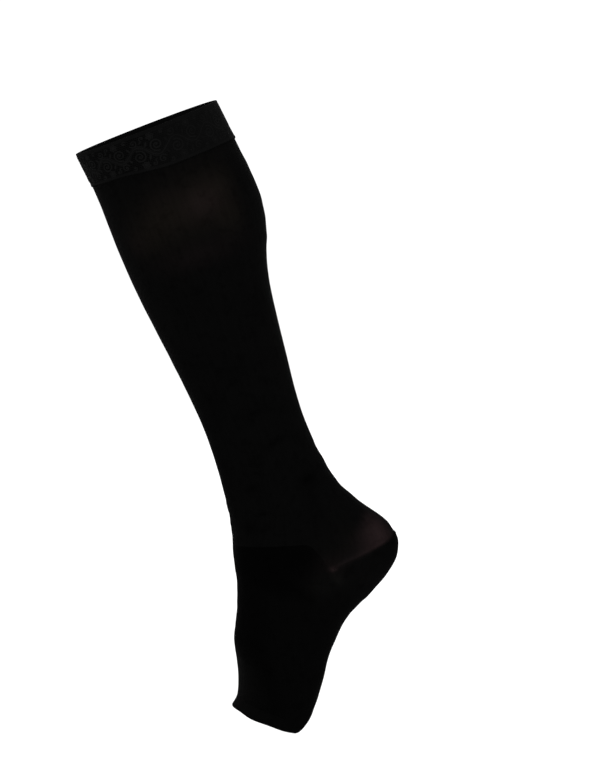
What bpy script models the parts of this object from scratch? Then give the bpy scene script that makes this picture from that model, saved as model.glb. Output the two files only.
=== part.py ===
"""A left knee-high compression stocking with an open toe, in the shape it takes when worn.

The leg leans and the foot points down, as in a step with the heel raised. Every knitted piece is a wall on
one shared surface. That surface is a tube around a centre line, which runs down the leg, bends at the ankle
and follows the foot. Its cross-sections come from girths and reaches at the usual measuring points.

Frame: the origin is the centre of the top opening. +Z is up, -X is towards the toes, +X is towards the heel
and -Y is the outer (little toe) side of the leg.
"""

import math
from dataclasses import dataclass

import bmesh
import bpy
import numpy as np

MM = 0.001
TAU = 2.0 * math.pi

# Pose of the leg and the foot, in degrees.
LEG_LEAN = 20.5  # the leg's lower end is further back than its top
FOOT_PITCH = 78.0  # the foot tube points this far below level
TOE_OUT = 12.0  # the toes turn to the outer side

# Centre line, in millimetres. A station is a distance along it from the top opening.
LEG_RUN = 310.0  # straight run from the top opening to the start of the ankle bend
BEND_RADIUS = 160.0  # radius of the bend between leg and foot
TURN_START = 350.0  # where the cross-sections start to turn with the foot
TURN_END = 505.0  # where they have fully turned

# Edges and seams, in millimetres of station.
TOP_DIP = 0.3  # the top edge is lower at the shin and higher at the back by this
TOP_HITCH = 2.9  # the top edge is pulled up by this on the outer side
BAND_WIDTH = 29.0  # at the shin
BAND_DROP = 5.0  # how much wider the band is at the sides and the back of the leg
INSTEP_LINE = 364.0  # the knitted course across the instep where leg turns to foot
HEEL_POINT = 383.0  # that course at the two side points of the heel pocket
HEEL_RISE = 58.0  # how far the pocket reaches above the side points at the back
HEEL_FALL = 29.0  # how far it reaches below them under the heel
WELT_WIDTH = 10.0
TOE_LINE = 513.0  # the edge of the toe opening, halfway between its inner and outer sides
TOE_SLANT = 3.0  # the toe edge is further along on the outer side by this
SOLE_CUT = 24.0  # the toe edge is cut back at the sole by this

# Angles around the rings, in degrees from the shin.
BAND_DROP_START = 40.0  # where the band starts to widen
BAND_DROP_END = 95.0
DIP_START = 95.0  # where the instep course starts to dip towards the heel's side points
HEEL_POINT_ANGLE = 115.0
HEEL_TIP = 2.0  # the pocket's solid starts this far behind its side points
SOLE_CUT_START = 85.0
SOLE_CUT_END = 157.0
HEEL_ROUNDNESS = 0.8  # power of the sine that opens the heel pocket: less is blunter at its side points

# Cloth, in millimetres.
KNIT_WALL = 1.0
BAND_WALL = 1.8
BAND_PROUD = 0.6  # how far the band's face stands out from the knit's face
WELT_WALL = 1.4
WELT_PROUD = 0.3
SEAM_GAP = 0.3

# Facets.
COLUMNS = 40
BAND_ROWS = 3
LEG_ROWS = 20
HEEL_ROWS = 10
FOOT_ROWS = 14
WELT_ROWS = 1
ANGLE_DIGITS = 9  # columns whose angles agree to this many decimals are one


@dataclass(frozen=True)
class Section:
    """A cross-section at a measuring point, in millimetres."""

    name: str
    station: float  # distance along the centre line
    girth: float
    front: float  # reach from the centre line to the shin or the top of the foot
    back: float  # reach from the centre line to the calf, heel or sole
    front_full: float  # 0 is an ellipse, less is leaner, more is squarer
    back_full: float
    widest: float = 0.0  # how far ahead of the centre line it is widest


SECTIONS = (
    Section("top edge", 0.0, 368.0, 61.0, 61.0, 0.0, 0.0),
    Section("below knee", 35.0, 365.0, 57.5, 65.0, 0.0, 0.05),
    Section("widest calf", 82.0, 370.0, 55.5, 69.0, -0.05, 0.1),
    Section("under calf", 117.0, 348.0, 54.0, 60.5, -0.05, 0.1),
    Section("mid calf", 160.0, 305.0, 50.5, 49.5, -0.05, 0.05),
    Section("lower calf", 210.0, 260.0, 44.0, 43.5, 0.0, 0.0),
    Section("ankle", 265.0, 222.0, 41.0, 39.0, 0.05, -0.1),
    Section("above heel", 310.0, 238.0, 44.5, 42.0, 0.1, -0.1),
    Section("heel top", 340.0, 278.0, 46.0, 61.0, 0.1, 0.1),
    Section("heel", 367.0, 342.0, 46.5, 95.0, 0.1, 0.3),
    Section("heel base", 390.0, 307.0, 43.5, 81.0, -0.05, 0.35),
    Section("arch", 415.0, 261.0, 36.5, 59.0, -0.05, 0.1, -6.5),
    Section("instep", 445.0, 240.0, 33.5, 48.5, 0.1, 0.25, -9.0),
    Section("ball", 485.0, 243.0, 16.5, 39.0, 0.1, 0.15, -11.0),
    Section("toe joints", 502.0, 238.0, 11.5, 32.5, 0.15, 0.25, -10.5),
    Section("toe edge", 516.0, 242.0, 12.0, 27.5, 0.05, 0.05, -7.5),
)


def unit(vectors):
    """Scale vectors to length one, along the last axis."""
    return vectors / np.linalg.norm(vectors, axis=-1, keepdims=True)


def smooth_step(low, high, at):
    """Rise from 0 at low to 1 at high, level at both ends."""
    share = np.clip((at - low) / (high - low), 0.0, 1.0)
    return share * share * (3.0 - 2.0 * share)


def monotone_curve(knots, values, at):
    """Cubic curve through the knots that never overshoots them: its slopes are harmonic means."""
    step = np.diff(knots)
    slope = np.diff(values) / step
    tangent = np.zeros(len(knots))
    tangent[0] = slope[0]
    tangent[-1] = slope[-1]
    product = slope[:-1] * slope[1:]
    total = np.where(product > 0.0, slope[:-1] + slope[1:], 1.0)
    tangent[1:-1] = np.where(product > 0.0, 2.0 * product / total, 0.0)
    span = np.clip(np.searchsorted(knots, at, side="right") - 1, 0, len(step) - 1)
    width = step[span]
    t = (at - knots[span]) / width
    start = (1.0 + 2.0 * t) * (1.0 - t) ** 2 * values[span] + t * (1.0 - t) ** 2 * width * tangent[span]
    end = t * t * (3.0 - 2.0 * t) * values[span + 1] - t * t * (1.0 - t) * width * tangent[span + 1]
    return start + end


def ring(angle, front, back, half_width, front_full, back_full, widest):
    """Egg-shaped ring: distances ahead of the centre line and to its outer side.

    Ahead is e + m cos a + (d - e) cos^2 a, where the ring is widest at e, and m and d are half the sum and
    half the difference of the two reaches.
    Outward is w sin a (1 + q cos^2 a), where the fullness q blends from the front's to the back's.
    """
    cosine = np.cos(angle)
    ahead = widest + 0.5 * (front + back) * cosine + (0.5 * (front - back) - widest) * cosine**2
    fullness = 0.5 * (front_full + back_full) + 0.5 * (front_full - back_full) * cosine
    outward = half_width * np.sin(angle) * (1.0 + fullness * cosine**2)
    return ahead, outward


def half_width_for(section):
    """Half width at which the section's ring is as long as its girth."""
    angle = np.linspace(0.0, TAU, 181)
    half_width = section.girth / TAU
    for _ in range(12):
        ahead, outward = ring(
            angle,
            section.front,
            section.back,
            half_width,
            section.front_full,
            section.back_full,
            section.widest,
        )
        length = np.hypot(np.diff(ahead), np.diff(outward)).sum()
        half_width += (section.girth - length) / 4.0
    return half_width


STATIONS = np.array([section.station for section in SECTIONS])
FRONTS = np.array([section.front for section in SECTIONS])
BACKS = np.array([section.back for section in SECTIONS])
FRONT_FULL = np.array([section.front_full for section in SECTIONS])
BACK_FULL = np.array([section.back_full for section in SECTIONS])
WIDEST = np.array([section.widest for section in SECTIONS])
HALF_WIDTHS = np.array([half_width_for(section) for section in SECTIONS])


def leg_axes():
    """Directions down the leg and towards the shin."""
    lean = math.radians(LEG_LEAN)
    along = np.array([math.sin(lean), 0.0, -math.cos(lean)])
    ahead = np.array([-math.cos(lean), 0.0, -math.sin(lean)])
    return along, ahead


def foot_axes():
    """Directions along the foot and up from its top."""
    pitch = math.radians(FOOT_PITCH)
    turn = math.radians(TOE_OUT)
    level = np.array([-math.cos(turn), -math.sin(turn), 0.0])
    up = np.array([0.0, 0.0, 1.0])
    return level * math.cos(pitch) - up * math.sin(pitch), level * math.sin(pitch) + up * math.cos(pitch)


def centre_line(station):
    """Points and directions of the centre line: a straight leg, an arc and a straight foot."""
    leg, _ = leg_axes()
    foot, _ = foot_axes()
    bend = math.acos(float(leg @ foot))
    inward = unit(foot - leg * float(leg @ foot))
    down_leg = np.minimum(station, LEG_RUN)[..., None]
    turned = np.clip((station - LEG_RUN) / BEND_RADIUS, 0.0, bend)[..., None]
    along_foot = np.maximum(station - LEG_RUN - BEND_RADIUS * bend, 0.0)[..., None]
    arc = BEND_RADIUS * (np.sin(turned) * leg + (1.0 - np.cos(turned)) * inward)
    point = down_leg * leg + arc + along_foot * foot
    direction = np.cos(turned) * leg + np.sin(turned) * inward
    return point, direction


def surface(station, angle):
    """Points of the stocking's outer face, in millimetres. Angle 0 is the shin, a quarter turn is outward."""
    point, direction = centre_line(station)
    _, shin = leg_axes()
    _, top_of_foot = foot_axes()
    turn = smooth_step(TURN_START, TURN_END, station)[..., None]
    lead = shin * (1.0 - turn) + top_of_foot * turn
    lead = unit(lead - direction * np.sum(lead * direction, axis=-1, keepdims=True))
    outer = np.cross(lead, direction)
    ahead, outward = ring(
        angle,
        monotone_curve(STATIONS, FRONTS, station),
        monotone_curve(STATIONS, BACKS, station),
        monotone_curve(STATIONS, HALF_WIDTHS, station),
        monotone_curve(STATIONS, FRONT_FULL, station),
        monotone_curve(STATIONS, BACK_FULL, station),
        monotone_curve(STATIONS, WIDEST, station),
    )
    return point + ahead[..., None] * lead + outward[..., None] * outer


def folded(angle):
    """Angle from the shin, the same on both sides: 0 at the shin and a half turn at the back."""
    return np.abs((angle + math.pi) % TAU - math.pi)


def top_edge(angle):
    """Station of the band's top edge."""
    return TOP_DIP * np.cos(angle) - TOP_HITCH * np.sin(angle)


def band_seam(angle):
    """Station of the seam between the band and the leg."""
    drop = smooth_step(math.radians(BAND_DROP_START), math.radians(BAND_DROP_END), folded(angle))
    return top_edge(angle) + BAND_WIDTH + BAND_DROP * drop


def instep_course(angle):
    """Station of the course where the leg's knitting turns to the foot's."""
    dip = smooth_step(math.radians(DIP_START), math.radians(HEEL_POINT_ANGLE), folded(angle))
    return INSTEP_LINE + (HEEL_POINT - INSTEP_LINE) * dip


def heel_share(angle):
    """Opening of the heel pocket: 0 up to its side points, 1 at the back, as a power of a quarter sine."""
    side = math.radians(HEEL_POINT_ANGLE)
    share = np.clip((folded(angle) - side) / (math.pi - side), 0.0, 1.0)
    return np.sin(0.5 * math.pi * share) ** HEEL_ROUNDNESS


def leg_end(angle):
    """Station where the leg ends, at the instep course or at the top of the heel pocket."""
    return instep_course(angle) - HEEL_RISE * heel_share(angle)


def foot_start(angle):
    """Station where the foot starts, at the instep course or at the bottom of the heel pocket."""
    return instep_course(angle) + HEEL_FALL * heel_share(angle)


def toe_edge(angle):
    """Station of the edge of the toe opening."""
    sole = smooth_step(math.radians(SOLE_CUT_START), math.radians(SOLE_CUT_END), folded(angle))
    return TOE_LINE + TOE_SLANT * np.sin(angle) - SOLE_CUT * sole


def welt_seam(angle):
    """Station where the foot's knitting turns to the welt's."""
    return toe_edge(angle) - WELT_WIDTH


def column_angles():
    """Angles of the columns of facets: even steps, and two columns at each side point of the heel."""
    even = np.arange(COLUMNS) * TAU / COLUMNS
    point = math.radians(HEEL_POINT_ANGLE)
    tip = math.radians(HEEL_POINT_ANGLE + HEEL_TIP)
    angles = np.append(even, (point, tip, TAU - tip, TAU - point))
    return np.unique(np.round(angles, ANGLE_DIGITS))


def grid_points(angles, start, end, rows, proud):
    """Points of a piece of the wall between two stations, which may change around the ring.

    Rows lie evenly between the two. The points are moved out from the shared surface by proud.
    """
    share = np.linspace(0.0, 1.0, rows + 1)[:, None]
    station = start(angles) + share * (end(angles) - start(angles))
    angle = np.broadcast_to(angles, station.shape)
    step = 0.01
    turn = step / 50.0
    point = surface(station, angle)
    down = surface(station + step, angle) - surface(station - step, angle)
    around = surface(station, angle + turn) - surface(station, angle - turn)
    return point + proud * unit(np.cross(down, around))


def below(seam):
    """The stations half a gap past a seam."""
    return lambda angle: seam(angle) + 0.5 * SEAM_GAP


def above(seam):
    """The stations half a gap short of a seam."""
    return lambda angle: seam(angle) - 0.5 * SEAM_GAP


def cloth_mesh(name, points, closed_ring):
    """Mesh of one face of the cloth: a grid of quads facing out, joined around when it is a ring."""
    rows, columns, _ = points.shape
    mesh_data = bmesh.new()
    verts = [[mesh_data.verts.new(point * MM) for point in row] for row in points]
    for row in range(rows - 1):
        for column in range(columns if closed_ring else columns - 1):
            after = (column + 1) % columns
            corners = (
                verts[row][column],
                verts[row + 1][column],
                verts[row + 1][after],
                verts[row][after],
            )
            mesh_data.faces.new(corners)
    mesh = bpy.data.meshes.new(name)
    mesh_data.to_mesh(mesh)
    mesh_data.free()
    mesh.shade_smooth()
    return mesh


def fabric(name, colour, roughness):
    """Material of a knitted cloth."""
    material = bpy.data.materials.new(name)
    material.use_nodes = True
    shader = material.node_tree.nodes["Principled BSDF"]
    shader.inputs["Base Color"].default_value = (*colour, 1.0)
    shader.inputs["Roughness"].default_value = roughness
    shader.inputs["Metallic"].default_value = 0.0
    material.diffuse_color = (*colour, 1.0)
    return material


def cloth_piece(name, points, wall, material, parent, collection, closed_ring=True):
    """Object of one piece: its outer face, thickened inwards."""
    piece = bpy.data.objects.new(name, cloth_mesh(name, points, closed_ring))
    piece.data.materials.append(material)
    piece.parent = parent
    thickness = piece.modifiers.new("Wall", "SOLIDIFY")
    thickness.thickness = wall * MM
    thickness.offset = -1.0
    thickness.use_even_offset = True
    collection.objects.link(piece)
    return piece


def make_band(parent, collection):
    """The elastic lace band, closed to a ring and sewn to the top of the leg."""
    points = grid_points(column_angles(), top_edge, above(band_seam), BAND_ROWS, BAND_PROUD)
    lace = fabric("black_lace_band", (0.012, 0.012, 0.012), 0.8)
    return cloth_piece("top_band", points, BAND_WALL, lace, parent, collection)


def make_leg(parent, collection):
    """The leg tube, from the band seam to the instep and the top of the heel pocket."""
    points = grid_points(column_angles(), below(band_seam), above(leg_end), LEG_ROWS, 0.0)
    knit = fabric("black_leg_knit", (0.007, 0.0065, 0.006), 0.75)
    return cloth_piece("leg", points, KNIT_WALL, knit, parent, collection)


def make_heel(parent, collection):
    """The heel pocket, between the leg and the foot, behind its two side points."""
    tip = math.radians(HEEL_POINT_ANGLE + HEEL_TIP)
    angles = column_angles()
    behind = angles[folded(angles) > tip - 0.001]
    points = grid_points(behind, below(leg_end), above(foot_start), HEEL_ROWS, 0.0)
    knit = fabric("black_heel_knit", (0.011, 0.009, 0.009), 0.75)
    return cloth_piece("heel_pocket", points, KNIT_WALL, knit, parent, collection, closed_ring=False)


def make_foot(parent, collection):
    """The foot tube, from the instep and the bottom of the heel pocket to the welt."""
    points = grid_points(column_angles(), below(foot_start), above(welt_seam), FOOT_ROWS, 0.0)
    knit = fabric("black_foot_knit", (0.005, 0.005, 0.005), 0.75)
    return cloth_piece("foot", points, KNIT_WALL, knit, parent, collection)


def make_welt(parent, collection):
    """The doubled edge of the toe opening."""
    points = grid_points(column_angles(), below(welt_seam), toe_edge, WELT_ROWS, WELT_PROUD)
    knit = fabric("black_toe_welt", (0.006, 0.006, 0.006), 0.8)
    return cloth_piece("toe_welt", points, WELT_WALL, knit, parent, collection)


def clear_scene():
    """Remove whatever the file opened with."""
    for old in list(bpy.data.objects):
        bpy.data.objects.remove(old, do_unlink=True)


def main():
    """Build the stocking's five pieces."""
    clear_scene()
    collection = bpy.data.collections.new("compression_stocking")
    bpy.context.scene.collection.children.link(collection)
    holder = bpy.data.objects.new("stocking", None)
    collection.objects.link(holder)
    for make in (make_band, make_leg, make_heel, make_foot, make_welt):
        make(holder, collection)


if __name__ == "__main__":
    main()
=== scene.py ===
"""The looks of a left knee-high compression stocking with an open toe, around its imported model.

The stocking keeps the hollow form it takes when worn: the leg leans and the foot points down. Its five
pieces are walls of cloth on one surface, which is a tube around a centre line. A place on that surface is
a station, the distance down the centre line in millimetres, and an angle, 0 at the shin, a quarter turn at
the outer side and a half turn at the back. A lift is a height above the surface, in millimetres.

Frame: metres, +Z up, -X towards the toes, -Y the outer side. The origin is the centre of the top opening.
"""

import logging
import math
from collections.abc import Callable
from dataclasses import dataclass, field
from enum import Enum

import bpy
import numpy as np
from mathutils import Matrix, Vector
from numpy.typing import NDArray


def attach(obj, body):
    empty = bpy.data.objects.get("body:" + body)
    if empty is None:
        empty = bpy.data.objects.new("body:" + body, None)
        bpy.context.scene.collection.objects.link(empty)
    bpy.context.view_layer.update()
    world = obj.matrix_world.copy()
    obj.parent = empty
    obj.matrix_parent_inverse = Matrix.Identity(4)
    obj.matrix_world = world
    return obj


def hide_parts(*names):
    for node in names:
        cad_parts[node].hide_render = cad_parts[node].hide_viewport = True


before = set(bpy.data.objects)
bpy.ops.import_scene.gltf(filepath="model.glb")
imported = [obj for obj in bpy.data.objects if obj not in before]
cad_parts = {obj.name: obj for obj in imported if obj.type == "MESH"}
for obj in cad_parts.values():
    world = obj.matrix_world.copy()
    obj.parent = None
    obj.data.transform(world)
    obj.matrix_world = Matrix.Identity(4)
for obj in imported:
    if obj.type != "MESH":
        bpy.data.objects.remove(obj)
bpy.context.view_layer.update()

Array = NDArray[np.float64]
Seam = Callable[[Array], Array]
Places = tuple[Array, Array, Array]
Colour = tuple[float, float, float, float]

MM = 0.001
TAU = 2.0 * math.pi
GIRTH_STEPS = 181  # points around a ring whose girth is measured
GIRTH_ROUNDS = 12  # rounds in which its half width is corrected
OFFSET_ROOM = 3.0  # millimetres between two seams below which the rows' offsets shrink
WALES = 400  # columns of loops around the tube
STREAK_SEED = 11
STREAK_DRIFT = 37.0  # millimetres along, for each radian of a wale's drift in tone
LOG = logging.getLogger("stocking")


def smooth_step(low: float, high: float, at: Array) -> Array:
    """Rise from 0 to 1 as 3t^2 - 2t^3, level at both ends.

    Args:
        low: where the rise starts.
        high: where it ends.
        at: where it is read.

    Returns:
        The rise at each place.
    """
    share = np.clip((at - low) / (high - low), 0.0, 1.0)
    return share * share * (3.0 - 2.0 * share)


def bell(distance: Array, reach: float) -> Array:
    """Bell curve exp(-(d/r)^2) of a distance, with its reach r."""
    return np.exp(-((distance / reach) ** 2))


def waves(angle: Array, *rows: tuple[float, float, float]) -> Array:
    """Sum of h sin(n a + p), for rows of height h, count n around and phase p."""
    return sum(height * np.sin(count * angle + phase) for height, count, phase in rows)


def turned_from(angle: Array, middle: float) -> Array:
    """Angle from a middle, in radians from minus to plus a half turn."""
    return (angle - middle + math.pi) % TAU - math.pi


def unit(vectors: Array) -> Array:
    """Vectors scaled to length one, along the last axis."""
    return vectors / np.linalg.norm(vectors, axis=-1, keepdims=True)


def monotone_curve(knots: Array, values: Array, at: Array) -> Array:
    """Cubic curve through knots that never overshoots them: its slopes are harmonic means.

    Args:
        knots: rising places of the knots.
        values: the value at each knot.
        at: where the curve is read.

    Returns:
        The curve's value at each place.
    """
    step = np.diff(knots)
    slope = np.diff(values) / step
    product = slope[:-1] * slope[1:]
    total = np.where(product > 0.0, slope[:-1] + slope[1:], 1.0)
    middle = np.where(product > 0.0, 2.0 * product / total, 0.0)
    tangent = np.concatenate((slope[:1], middle, slope[-1:]))
    span = np.clip(np.searchsorted(knots, at, side="right") - 1, 0, len(step) - 1)
    width = step[span]
    t = (at - knots[span]) / width
    start = (1.0 + 2.0 * t) * (1.0 - t) ** 2 * values[span] + t * (1.0 - t) ** 2 * width * tangent[span]
    end = t * t * (3.0 - 2.0 * t) * values[span + 1] - t * t * (1.0 - t) * width * tangent[span + 1]
    return start + end


# ---------------------------------------------------------------------------------------------------------
# The form that every piece lies on
# ---------------------------------------------------------------------------------------------------------


@dataclass(frozen=True)
class Section:
    """A cross-section at a measuring point, in millimetres."""

    name: str
    station: float
    girth: float
    front: float  # reach from the centre line to the shin or the top of the foot
    back: float  # reach from the centre line to the calf, heel or sole
    front_full: float  # 0 is an ellipse, less is leaner, more is squarer
    back_full: float
    widest: float = 0.0  # how far ahead of the centre line it is widest


SECTIONS = (
    Section("top edge", 0.0, 368.0, 61.0, 61.0, 0.0, 0.0),
    Section("below knee", 35.0, 365.0, 57.5, 65.0, 0.0, 0.05),
    Section("widest calf", 82.0, 370.0, 55.5, 69.0, -0.05, 0.1),
    Section("under calf", 117.0, 348.0, 54.0, 60.5, -0.05, 0.1),
    Section("mid calf", 160.0, 305.0, 50.5, 49.5, -0.05, 0.05),
    Section("lower calf", 210.0, 260.0, 44.0, 43.5, 0.0, 0.0),
    Section("ankle", 265.0, 222.0, 41.0, 39.0, 0.05, -0.1),
    Section("above heel", 310.0, 238.0, 44.5, 42.0, 0.1, -0.1),
    Section("heel top", 340.0, 278.0, 46.0, 61.0, 0.1, 0.1),
    Section("heel", 367.0, 342.0, 46.5, 95.0, 0.1, 0.3),
    Section("heel base", 390.0, 307.0, 43.5, 81.0, -0.05, 0.35),
    Section("arch", 415.0, 261.0, 36.5, 59.0, -0.05, 0.1, -6.5),
    Section("instep", 445.0, 240.0, 33.5, 48.5, 0.1, 0.25, -9.0),
    Section("ball", 485.0, 243.0, 16.5, 39.0, 0.1, 0.15, -11.0),
    Section("toe joints", 502.0, 238.0, 11.5, 32.5, 0.15, 0.25, -10.5),
    Section("toe edge", 516.0, 242.0, 12.0, 27.5, 0.05, 0.05, -7.5),
)


@dataclass(frozen=True)
class StockingForm:
    """The surface that the cloth lies on, and the stations of its edges and seams.

    Lengths are in millimetres and angles in degrees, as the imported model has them.
    """

    leg_lean: float = 20.5
    foot_pitch: float = 78.0
    toe_out: float = 12.0
    leg_run: float = 310.0  # how far the centre line runs straight
    bend_radius: float = 160.0
    turn_start: float = 350.0  # station from which the rings turn with the foot
    turn_end: float = 505.0
    top_dip: float = 0.3
    top_hitch: float = 2.9
    band_width: float = 29.0
    band_drop: float = 5.0
    band_drop_start: float = 40.0
    band_drop_end: float = 95.0
    instep_line: float = 364.0
    heel_point: float = 383.0
    heel_rise: float = 58.0
    heel_fall: float = 29.0
    gore_rise: float = 21.0  # how far the heel's gore line climbs from its side point to the back
    heel_roundness: float = 0.8
    dip_start: float = 95.0
    heel_point_angle: float = 115.0
    welt_width: float = 10.0
    toe_line: float = 513.0
    toe_slant: float = 3.0
    sole_cut: float = 24.0
    sole_cut_start: float = 85.0
    sole_cut_end: float = 157.0
    sections: tuple[Section, ...] = SECTIONS

    def __post_init__(self) -> None:
        """Keep the sections as arrays, with the half width that gives each its girth."""
        for name in ("station", "front", "back", "front_full", "back_full", "widest"):
            column = np.array([getattr(section, name) for section in self.sections])
            object.__setattr__(self, f"{name}_table", column)
        widths = np.array([self.half_width_for(section) for section in self.sections])
        object.__setattr__(self, "width_table", widths)

    @staticmethod
    def ring(
        angle: Array,
        front: Array,
        back: Array,
        half_width: Array,
        front_full: Array,
        back_full: Array,
        widest: Array,
    ) -> tuple[Array, Array]:
        """Egg-shaped ring.

        Ahead is e + m cos a + (d - e) cos^2 a, where the ring is widest at e, and m and d are half the sum
        and half the difference of the two reaches. Outward is w sin a (1 + q cos^2 a), where the fullness q
        blends from the front's to the back's.

        Args:
            angle: angles around the ring.
            front: reach to the front.
            back: reach to the back.
            half_width: half the width.
            front_full: fullness of the front half.
            back_full: fullness of the back half.
            widest: how far ahead of the centre line the ring is widest.

        Returns:
            Distances ahead of the centre line and to its outer side.
        """
        cosine = np.cos(angle)
        ahead = widest + 0.5 * (front + back) * cosine + (0.5 * (front - back) - widest) * cosine**2
        fullness = 0.5 * (front_full + back_full) + 0.5 * (front_full - back_full) * cosine
        return ahead, half_width * np.sin(angle) * (1.0 + fullness * cosine**2)

    @classmethod
    def half_width_for(cls, section: Section) -> float:
        """Half width at which a section's ring is as long as its girth."""
        angle = np.linspace(0.0, TAU, GIRTH_STEPS)
        half_width = section.girth / TAU
        for _ in range(GIRTH_ROUNDS):
            full = (section.front_full, section.back_full)
            ahead, outward = cls.ring(angle, section.front, section.back, half_width, *full, section.widest)
            length = np.hypot(np.diff(ahead), np.diff(outward)).sum()
            half_width += (section.girth - length) / 4.0
        return half_width

    def axes(self) -> tuple[Array, Array, Array, Array]:
        """Directions down the leg, to the shin, along the foot and up from its top."""
        lean, pitch, turn = (math.radians(a) for a in (self.leg_lean, self.foot_pitch, self.toe_out))
        down_leg = np.array([math.sin(lean), 0.0, -math.cos(lean)])
        shin = np.array([-math.cos(lean), 0.0, -math.sin(lean)])
        level = np.array([-math.cos(turn), -math.sin(turn), 0.0])
        up = np.array([0.0, 0.0, 1.0])
        along_foot = level * math.cos(pitch) - up * math.sin(pitch)
        instep = level * math.sin(pitch) + up * math.cos(pitch)
        return down_leg, shin, along_foot, instep

    def surface(self, station: Array, angle: Array) -> Array:
        """Points of the cloth's outer face: a ring around the centre line at each station.

        The centre line is a straight leg, an arc at the ankle and a straight foot. The rings turn with the
        foot between two stations.

        Args:
            station: distances down the centre line.
            angle: angles around it, of the same shape.

        Returns:
            Points in millimetres, with x, y and z along the last axis.
        """
        leg, shin, foot, instep = self.axes()
        bend = math.acos(float(leg @ foot))
        inward = unit(foot - leg * float(leg @ foot))
        down_leg = np.minimum(station, self.leg_run)[..., None]
        turned = np.clip((station - self.leg_run) / self.bend_radius, 0.0, bend)[..., None]
        down_foot = np.maximum(station - self.leg_run - self.bend_radius * bend, 0.0)[..., None]
        arc = self.bend_radius * (np.sin(turned) * leg + (1.0 - np.cos(turned)) * inward)
        direction = np.cos(turned) * leg + np.sin(turned) * inward
        turn = smooth_step(self.turn_start, self.turn_end, station)[..., None]
        lead = shin * (1.0 - turn) + instep * turn
        lead = unit(lead - direction * np.sum(lead * direction, axis=-1, keepdims=True))
        tables = (self.front_table, self.back_table, self.width_table)
        tables += (self.front_full_table, self.back_full_table, self.widest_table)
        sizes = [monotone_curve(self.station_table, table, station) for table in tables]
        ahead, outward = self.ring(angle, *sizes)
        outer = np.cross(lead, direction)
        centre = down_leg * leg + arc + down_foot * foot
        return centre + ahead[..., None] * lead + outward[..., None] * outer

    def lifted(self, station: Array, angle: Array, lift: Array) -> Array:
        """Points at a lift above the surface, along its normal, in millimetres."""
        step, turn = 0.05, 0.001  # small steps along and around, for the normal
        down = self.surface(station + step, angle) - self.surface(station - step, angle)
        around = self.surface(station, angle + turn) - self.surface(station, angle - turn)
        return self.surface(station, angle) + lift[..., None] * unit(np.cross(down, around))

    def folded(self, angle: Array) -> Array:
        """Angle from the shin, the same on both sides, from 0 to a half turn."""
        return np.abs(turned_from(angle, 0.0))

    def top_edge(self, angle: Array) -> Array:
        """Station of the band's top edge: it dips at the shin and hitches up on the outer side."""
        return self.top_dip * np.cos(angle) - self.top_hitch * np.sin(angle)

    def band_seam(self, angle: Array) -> Array:
        """Station of the seam between the band and the leg."""
        start, end = math.radians(self.band_drop_start), math.radians(self.band_drop_end)
        drop = self.band_drop * smooth_step(start, end, self.folded(angle))
        return self.top_edge(angle) + self.band_width + drop

    def instep_course(self, angle: Array) -> Array:
        """Station of the course where leg turns to foot, which dips to the heel's side points."""
        start, end = math.radians(self.dip_start), math.radians(self.heel_point_angle)
        dip = smooth_step(start, end, self.folded(angle))
        return self.instep_line + (self.heel_point - self.instep_line) * dip

    def heel_share(self, angle: Array) -> Array:
        """Opening of the heel pocket: 0 up to its side points, 1 at the back, a power of a quarter sine."""
        side = math.radians(self.heel_point_angle)
        share = np.clip((self.folded(angle) - side) / (math.pi - side), 0.0, 1.0)
        return np.sin(0.5 * math.pi * share) ** self.heel_roundness

    def pocket_top(self, angle: Array) -> Array:
        """Station where the leg ends, at the instep course or the top of the heel pocket."""
        return self.instep_course(angle) - self.heel_rise * self.heel_share(angle)

    def pocket_base(self, angle: Array) -> Array:
        """Station where the foot starts, at the instep course or the bottom of the heel pocket."""
        return self.instep_course(angle) + self.heel_fall * self.heel_share(angle)

    def gore_line(self, angle: Array) -> Array:
        """Station of the line where the heel pocket's two halves are knitted together."""
        return self.instep_course(angle) - self.gore_rise * self.heel_share(angle)

    def toe_edge(self, angle: Array) -> Array:
        """Station of the edge of the toe opening, cut back at the sole."""
        start, end = math.radians(self.sole_cut_start), math.radians(self.sole_cut_end)
        sole = smooth_step(start, end, self.folded(angle))
        return self.toe_line + self.toe_slant * np.sin(angle) - self.sole_cut * sole

    def welt_seam(self, angle: Array) -> Array:
        """Station where the foot's knitting turns to the welt's."""
        return self.toe_edge(angle) - self.welt_width


# ---------------------------------------------------------------------------------------------------------
# Creases and fullness
# ---------------------------------------------------------------------------------------------------------


@dataclass(frozen=True)
class Crease:
    """A soft fold in the cloth: a ridge, or a trough where its height is negative."""

    station: float
    angle: float  # degrees
    spread: float  # degrees to each end
    width: float
    height: float
    slant: float = 0.0  # millimetres of station for each radian around
    bow: float = 0.0  # millimetres of station for each square radian

    def lift(self, station: Array, angle: Array) -> Array:
        """Height of the fold: a bell across its line, which fades to its ends as a squared cosine."""
        away = turned_from(angle, math.radians(self.angle))
        line = self.station + self.slant * away + self.bow * away**2
        share = np.clip(np.abs(away) / math.radians(self.spread), 0.0, 1.0)
        return self.height * bell(station - line, self.width) * np.cos(0.5 * math.pi * share) ** 2


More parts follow.
